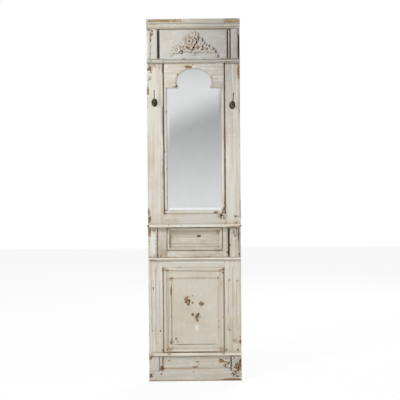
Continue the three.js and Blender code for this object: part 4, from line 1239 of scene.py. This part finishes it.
# %% Leaves, flowers and the rose
ROSE = (-18, 1718, 32, 15.0)
LEAVES = [
    (-3, 1736, 31, 16, 117, 10.0, -0.12),
    (2, 1736, 37, 18, 76, 11.0, 0.05),
    (11, 1732, 34, 15, 60, 10.0, 0.06),
    (20, 1724, 18, 11, 62, 9.0, 0.15),
    (40, 1694, 33, 18, 60, 10.0, -0.05),
    (50, 1688, 26, 14, 40, 9.0, 0.0),
    (66, 1684, 25, 13, 50, 8.0, -0.08),
    (82, 1664, 32, 15, 63, 9.0, -0.08),
    (92, 1660, 30, 15, 46, 8.5, -0.10),
    (84, 1664, 36, 13, 10, 7.0, -0.10),
    (102, 1661, 20, 12, -8, 6.5, -0.3),
    (55, 1672, 22, 12, -52, 6.0, 0.1),
    (70, 1668, 24, 12, -20, 6.0, 0.1),
    (4, 1672, 34, 16, -18, 6.5, 0.12),
    (30, 1670, 30, 14, -12, 6.0, 0.10),
    (2, 1671, 20, 14, 262, 6.0, 0.0),
    (-4, 1673, 34, 16, 198, 6.5, -0.12),
    (-32, 1672, 30, 14, 196, 6.0, -0.10),
    (-47, 1676, 25, 12, 232, 6.5, -0.1),
    (-42, 1696, 34, 16, 122, 8.0, 0.08),
    (-36, 1706, 28, 13, 140, 8.0, 0.05),
    (-46, 1694, 29, 14, 160, 7.5, 0.05),
    (-66, 1684, 26, 13, 128, 6.5, 0.08),
    (-92, 1672, 26, 13, 140, 6.0, 0.1),
    (-94, 1670, 30, 13, 212, 6.5, -0.12),
    (-101, 1659, 24, 11, 236, 5.5, -0.08),
    (-76, 1666, 24, 11, 205, 5.5, -0.1),
]
FLOWERS = [
    (-25, 1686, 20, 6, 11.0, 0.3),
    (25, 1686, 19, 6, 11.0, 0.0),
    (69, 1679, 16, 5, 9.5, 0.6),
    (-84, 1676, 18, 6, 9.0, 0.2),
]
SCROLLS = [
    (22, 1722, 17, 15, -115, 80, 12.0),
    (112, 1646, 10, 10, -75, 110, 7.5),
    (-96, 1656, 9, 7, 60, 200, 5.0),
    (88, 1672, 13, 8, -20, 140, 8.0),
    (4, 1668, 15, 7, 200, 340, 6.0),
]
print(len(LEAVES), "leaves,", len(FLOWERS), "flowers,", len(SCROLLS), "scrolls and a rose")

# %% [markdown]
# The heights are joined, softened once so that no crease is sharper than a gouge leaves it, and set
# to the onlay's full height. A little noise makes the strokes uneven. What lies deeper than its
# surroundings, found by blurring the relief, is darkened with brown glaze and painted shade: that
# depth goes with the mesh as a value which the paint reads.

# %% The relief
FULL_HEIGHT = 15.5
TOOL_MARKS, TOOL_WIDTH = 0.35, 7
DARKENED_FROM, DARKENED_OVER = 0.05, 1.25

relief = rose(*ROSE)
for make, shapes in ((leaf, LEAVES), (flower, FLOWERS), (scroll, SCROLLS)):
    for values in shapes:
        relief = np.maximum(relief, make(*values))
for axis in (0, 1):
    relief = (np.roll(relief, 1, axis) + 2 * relief + np.roll(relief, -1, axis)) / 4
relief *= FULL_HEIGHT / relief.max()
relief += [
    [TOOL_MARKS * noise.noise(Vector((x, z, 0)) / TOOL_WIDTH) for x, z in zip(*row)]
    for row in zip(carve_x, carve_z)
]
blurred = np.clip(relief, 0, None)
for axis in (0, 1) * 5:
    blurred = (np.roll(blurred, 3, axis) + blurred + np.roll(blurred, -3, axis)) / 3
# How far a point lies below the blurred relief: where brown glaze and painted shade go.
recess = np.clip((blurred - relief - DARKENED_FROM) / DARKENED_OVER, 0, 1)
print("relief from", round(float(relief.min()), 1), "to", round(float(relief.max()), 1), "mm")

# %% [markdown]
# The heights become a mesh: one vertex for each point that stands above the panel, and a skirt that
# goes down into the board, closed by a back. The skirt starts just under the surface, so that the
# outline seen is where the carving meets the panel, which is smooth, and not the stepped edge of
# the sheet.

# %% The carving as a mesh
FRIEZE_FRONT = 32
SKIRT = 0.8


def carve(heights, front, sunk):
    """A closed mesh from heights in mm above a board that stands front mm out from the back."""
    keep = heights > -sunk
    keep[[0, -1], :] = keep[:, [0, -1]] = False
    cells = keep[:-1, :-1] | keep[1:, :-1] | keep[:-1, 1:] | keep[1:, 1:]
    bm = bmesh.new()
    # Each point carries its depth below its surroundings, which the paint turns into brown glaze
    # and painted shade.
    glaze_and_shade = bm.verts.layers.float.new("glaze_and_shade")
    top, back = {}, {}

    def corner(table, row, column, depth):
        if (row, column) not in table:
            point = on_panel(carve_x[row, column], carve_z[row, column], depth)
            table[row, column] = bm.verts.new(point)
            table[row, column][glaze_and_shade] = float(recess[row, column])
        return table[row, column]

    for row, column in zip(*np.nonzero(cells)):
        square = [(row, column), (row, column + 1), (row + 1, column + 1), (row + 1, column)]
        bm.faces.new([corner(top, r, c, front + max(heights[r, c], -sunk)) for r, c in square])
        bm.faces.new([corner(back, r, c, front - 2 * sunk) for r, c in reversed(square)])
    rims = {v: k for k, v in top.items()}
    for edge in [e for e in bm.edges if e.is_boundary and e.verts[0] in rims]:
        face = edge.link_faces[0]
        a, b = edge.verts
        loop = next(l for l in face.loops if l.edge is edge)
        if loop.vert is not a:
            a, b = b, a
        bm.faces.new([b, a, back[rims[a]], back[rims[b]]])
    bmesh.ops.recalc_face_normals(bm, faces=bm.faces)
    return bm


carving = carve(relief, FRIEZE_FRONT, SKIRT)
frieze_paint = finishes["frieze_paint_x"]
spray = new_piece("rose_and_leaf_spray", carving, frieze_paint, smooth=math.radians(75))
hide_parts("carved_spray")

# %% [markdown]
# ## Coat hooks
#
# Each hook is one casting: an oval boss with a rounded rim, and a slim prong that leaves the boss,
# runs forward and turns up. The boss is turned, as on a lathe, and stretched upwards; the prong is
# a tube drawn along a smooth path that thins towards a small ball. A curve object with a bevel
# could do the prong, but a tube made point by point can thin out as the casting does.

# %% Lathe and tube
def circle(segments):
    """Cosine and sine of every step once round."""
    turns = [2 * math.pi * number / segments for number in range(segments)]
    return [(math.cos(turn), math.sin(turn)) for turn in turns]


def lathe(bm, profile, segments, place):
    """Closed form from (radius, height) pairs, turned about y; place maps a point to the panel."""
    rings = []
    for radius, height in profile:
        points = [Vector((radius * c, -height, radius * s)) for c, s in circle(segments)]
        if radius < 1e-9:
            points = points[:1]
        rings.append([bm.verts.new(place(point)) for point in points])
    join_rings(bm, rings, segments)


def join_rings(bm, rings, segments):
    """Faces between each ring and the next. Where one is a single point, they are triangles."""
    for lower, upper in zip(rings, rings[1:]):
        for k in range(segments):
            a, b = lower[k % len(lower)], lower[(k + 1) % len(lower)]
            c, d = upper[(k + 1) % len(upper)], upper[k % len(upper)]
            bm.faces.new(list(dict.fromkeys((a, b, c, d))))


def smooth_path(points, steps):
    """A Catmull-Rom path of 4-number points: place and radius."""
    ends = [points[0]] + points + [points[-1]]
    path = []
    for a, b, c, d in zip(ends, ends[1:], ends[2:], ends[3:]):
        for k in range(steps):
            t = k / steps
            bend = (2 * a - 5 * b + 4 * c - d) * t**2
            twist = (3 * b - a - 3 * c + d) * t**3
            path.append(0.5 * (2 * b + (c - a) * t + bend + twist))
    return path + [points[-1]]


def tube(bm, path, segments, place):
    """A round bar along path, whose turns all lie in the plane x = 0, closed at both ends."""
    rings = []
    for number, point in enumerate(path):
        ahead = path[min(number + 1, len(path) - 1)] - path[max(number - 1, 0)]
        up = Vector(ahead[:3]).normalized().cross(SIDE)
        centre, radius = Vector(point[:3]), point[3]
        points = [centre + radius * (c * SIDE + s * up) for c, s in circle(segments)]
        rings.append([bm.verts.new(place(point)) for point in points])
    first, last = (bm.verts.new(place(Vector(path[end][:3]))) for end in (0, -1))
    join_rings(bm, [[first]] + rings + [[last]], segments)


SIDE = Vector((1, 0, 0))
print("lathe and tube ready")

# %% [markdown]
# The boss is 29 mm wide and 41 mm tall: a round turned form, stretched upwards. Its rim is a roll
# with a groove inside it, and a dome rises from the groove. The two hooks sit a little unevenly,
# the right one lower and tilted, as somebody screwed them on by eye.

# %% Two hooks
BOSS_WIDTH, BOSS_TALL = 29, 41
RIM = BOSS_WIDTH / 2
DOME_RADIUS, DOME_FOOT, DOME_RISE, DOME_STEPS = 11.6, 3.7, 9.3, 12
CAST_SKIN = 0.22
STILE_FRONT = 26
HOOKS = (("left_coat_hook", -197, 1412, 0), ("right_coat_hook", 196, 1397, 6))

boss = [(0, 0), (13.8, 0), (RIM, 0.8), (RIM, 2.2), (14.0, 3.1), (13.0, 3.5), (12.1, 3.3)]
boss.append((DOME_RADIUS, DOME_FOOT))
for step in range(1, DOME_STEPS):
    angle = math.pi / 2 * step / DOME_STEPS
    ring_height = DOME_FOOT + DOME_RISE * math.sin(angle)
    boss.append((DOME_RADIUS * math.cos(angle), ring_height))
boss.append((0, DOME_FOOT + DOME_RISE))
# Places down the middle of the prong, each with its radius.
prong = [
    (0, -6, 2, 3.4),
    (0, -13, 3, 3.2),
    (0, -20, 3.2, 2.7),
    (0, -28, 7, 2.4),
    (0, -33, 18, 2.25),
    (0, -34, 36, 2.1),
    (0, -35.5, 50, 2.1),
    (0, -36, 53, 2.9),
    (0, -36.2, 55.5, 3.1),
    (0, -36.4, 57.6, 2.3),
    (0, -36.5, 58.4, 0.6),
]
for name, x, z, tilt in HOOKS:
    turn = Matrix.Rotation(math.radians(tilt), 3, "Y")
    seat = on_panel(x, z, STILE_FRONT)

    def cast_point(point, stretch=1.0):
        raw = Vector((point.x, point.y, point.z * stretch))
        bump = CAST_SKIN * noise.noise(raw / 3 + seat * 90) if raw.y < -1 else 0.0
        return seat + turn @ (raw + Vector((0, -bump, 0))) * MM

    bm = bmesh.new()
    lathe(bm, boss, 48, lambda point: cast_point(point, BOSS_TALL / BOSS_WIDTH))
    tube(bm, smooth_path([Vector(point) for point in prong], 5), 16, cast_point)
    bmesh.ops.recalc_face_normals(bm, faces=bm.faces)
    hook = new_piece(name + "_cast", bm, bronze, smooth=math.radians(60))
    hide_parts(name)
print("hooks cast")

# %% [markdown]
# ## Fixings on the back
#
# The board behind the glass is held by small round headed nails along its edges, driven by hand, so
# no two are quite in line. The lathe makes one low dome with a soft rim for each, all in one mesh.

# %% Nails round the backing board
NAIL_INSET, NAIL_SPACING = 8 * MM, 95 * MM
NAIL_HEAD = [(0, 0.4), (3.2, 0.4), (3.4, -0.2), (2.9, -0.8), (1.8, -1.25), (0.8, -1.4), (0, -1.45)]


def spaced(start, end):
    """Places from start to end, as near to the spacing as comes out even."""
    gaps = round((end - start) / NAIL_SPACING)
    return [start + (end - start) * number / gaps for number in range(gaps + 1)]


random.seed("nails")
low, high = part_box("mirror_backing")
left, right = low.x + NAIL_INSET, high.x - NAIL_INSET
bottom, top = low.z + NAIL_INSET, high.z - NAIL_INSET
places = [(x, z) for x in (left, right) for z in spaced(bottom, top)]
places += [(x, z) for z in (bottom, top) for x in spaced(left, right)[1:-1]]
bm = bmesh.new()
for x, z in places:
    seat = Vector((x + random.uniform(-1.5, 1.5) * MM, high.y, z + random.uniform(-3, 3) * MM))
    lathe(bm, NAIL_HEAD, 14, lambda point: seat + point * MM)
bmesh.ops.recalc_face_normals(bm, faces=bm.faces)
new_piece("backing_nails", bm, steel)
print(len(places), "nails")
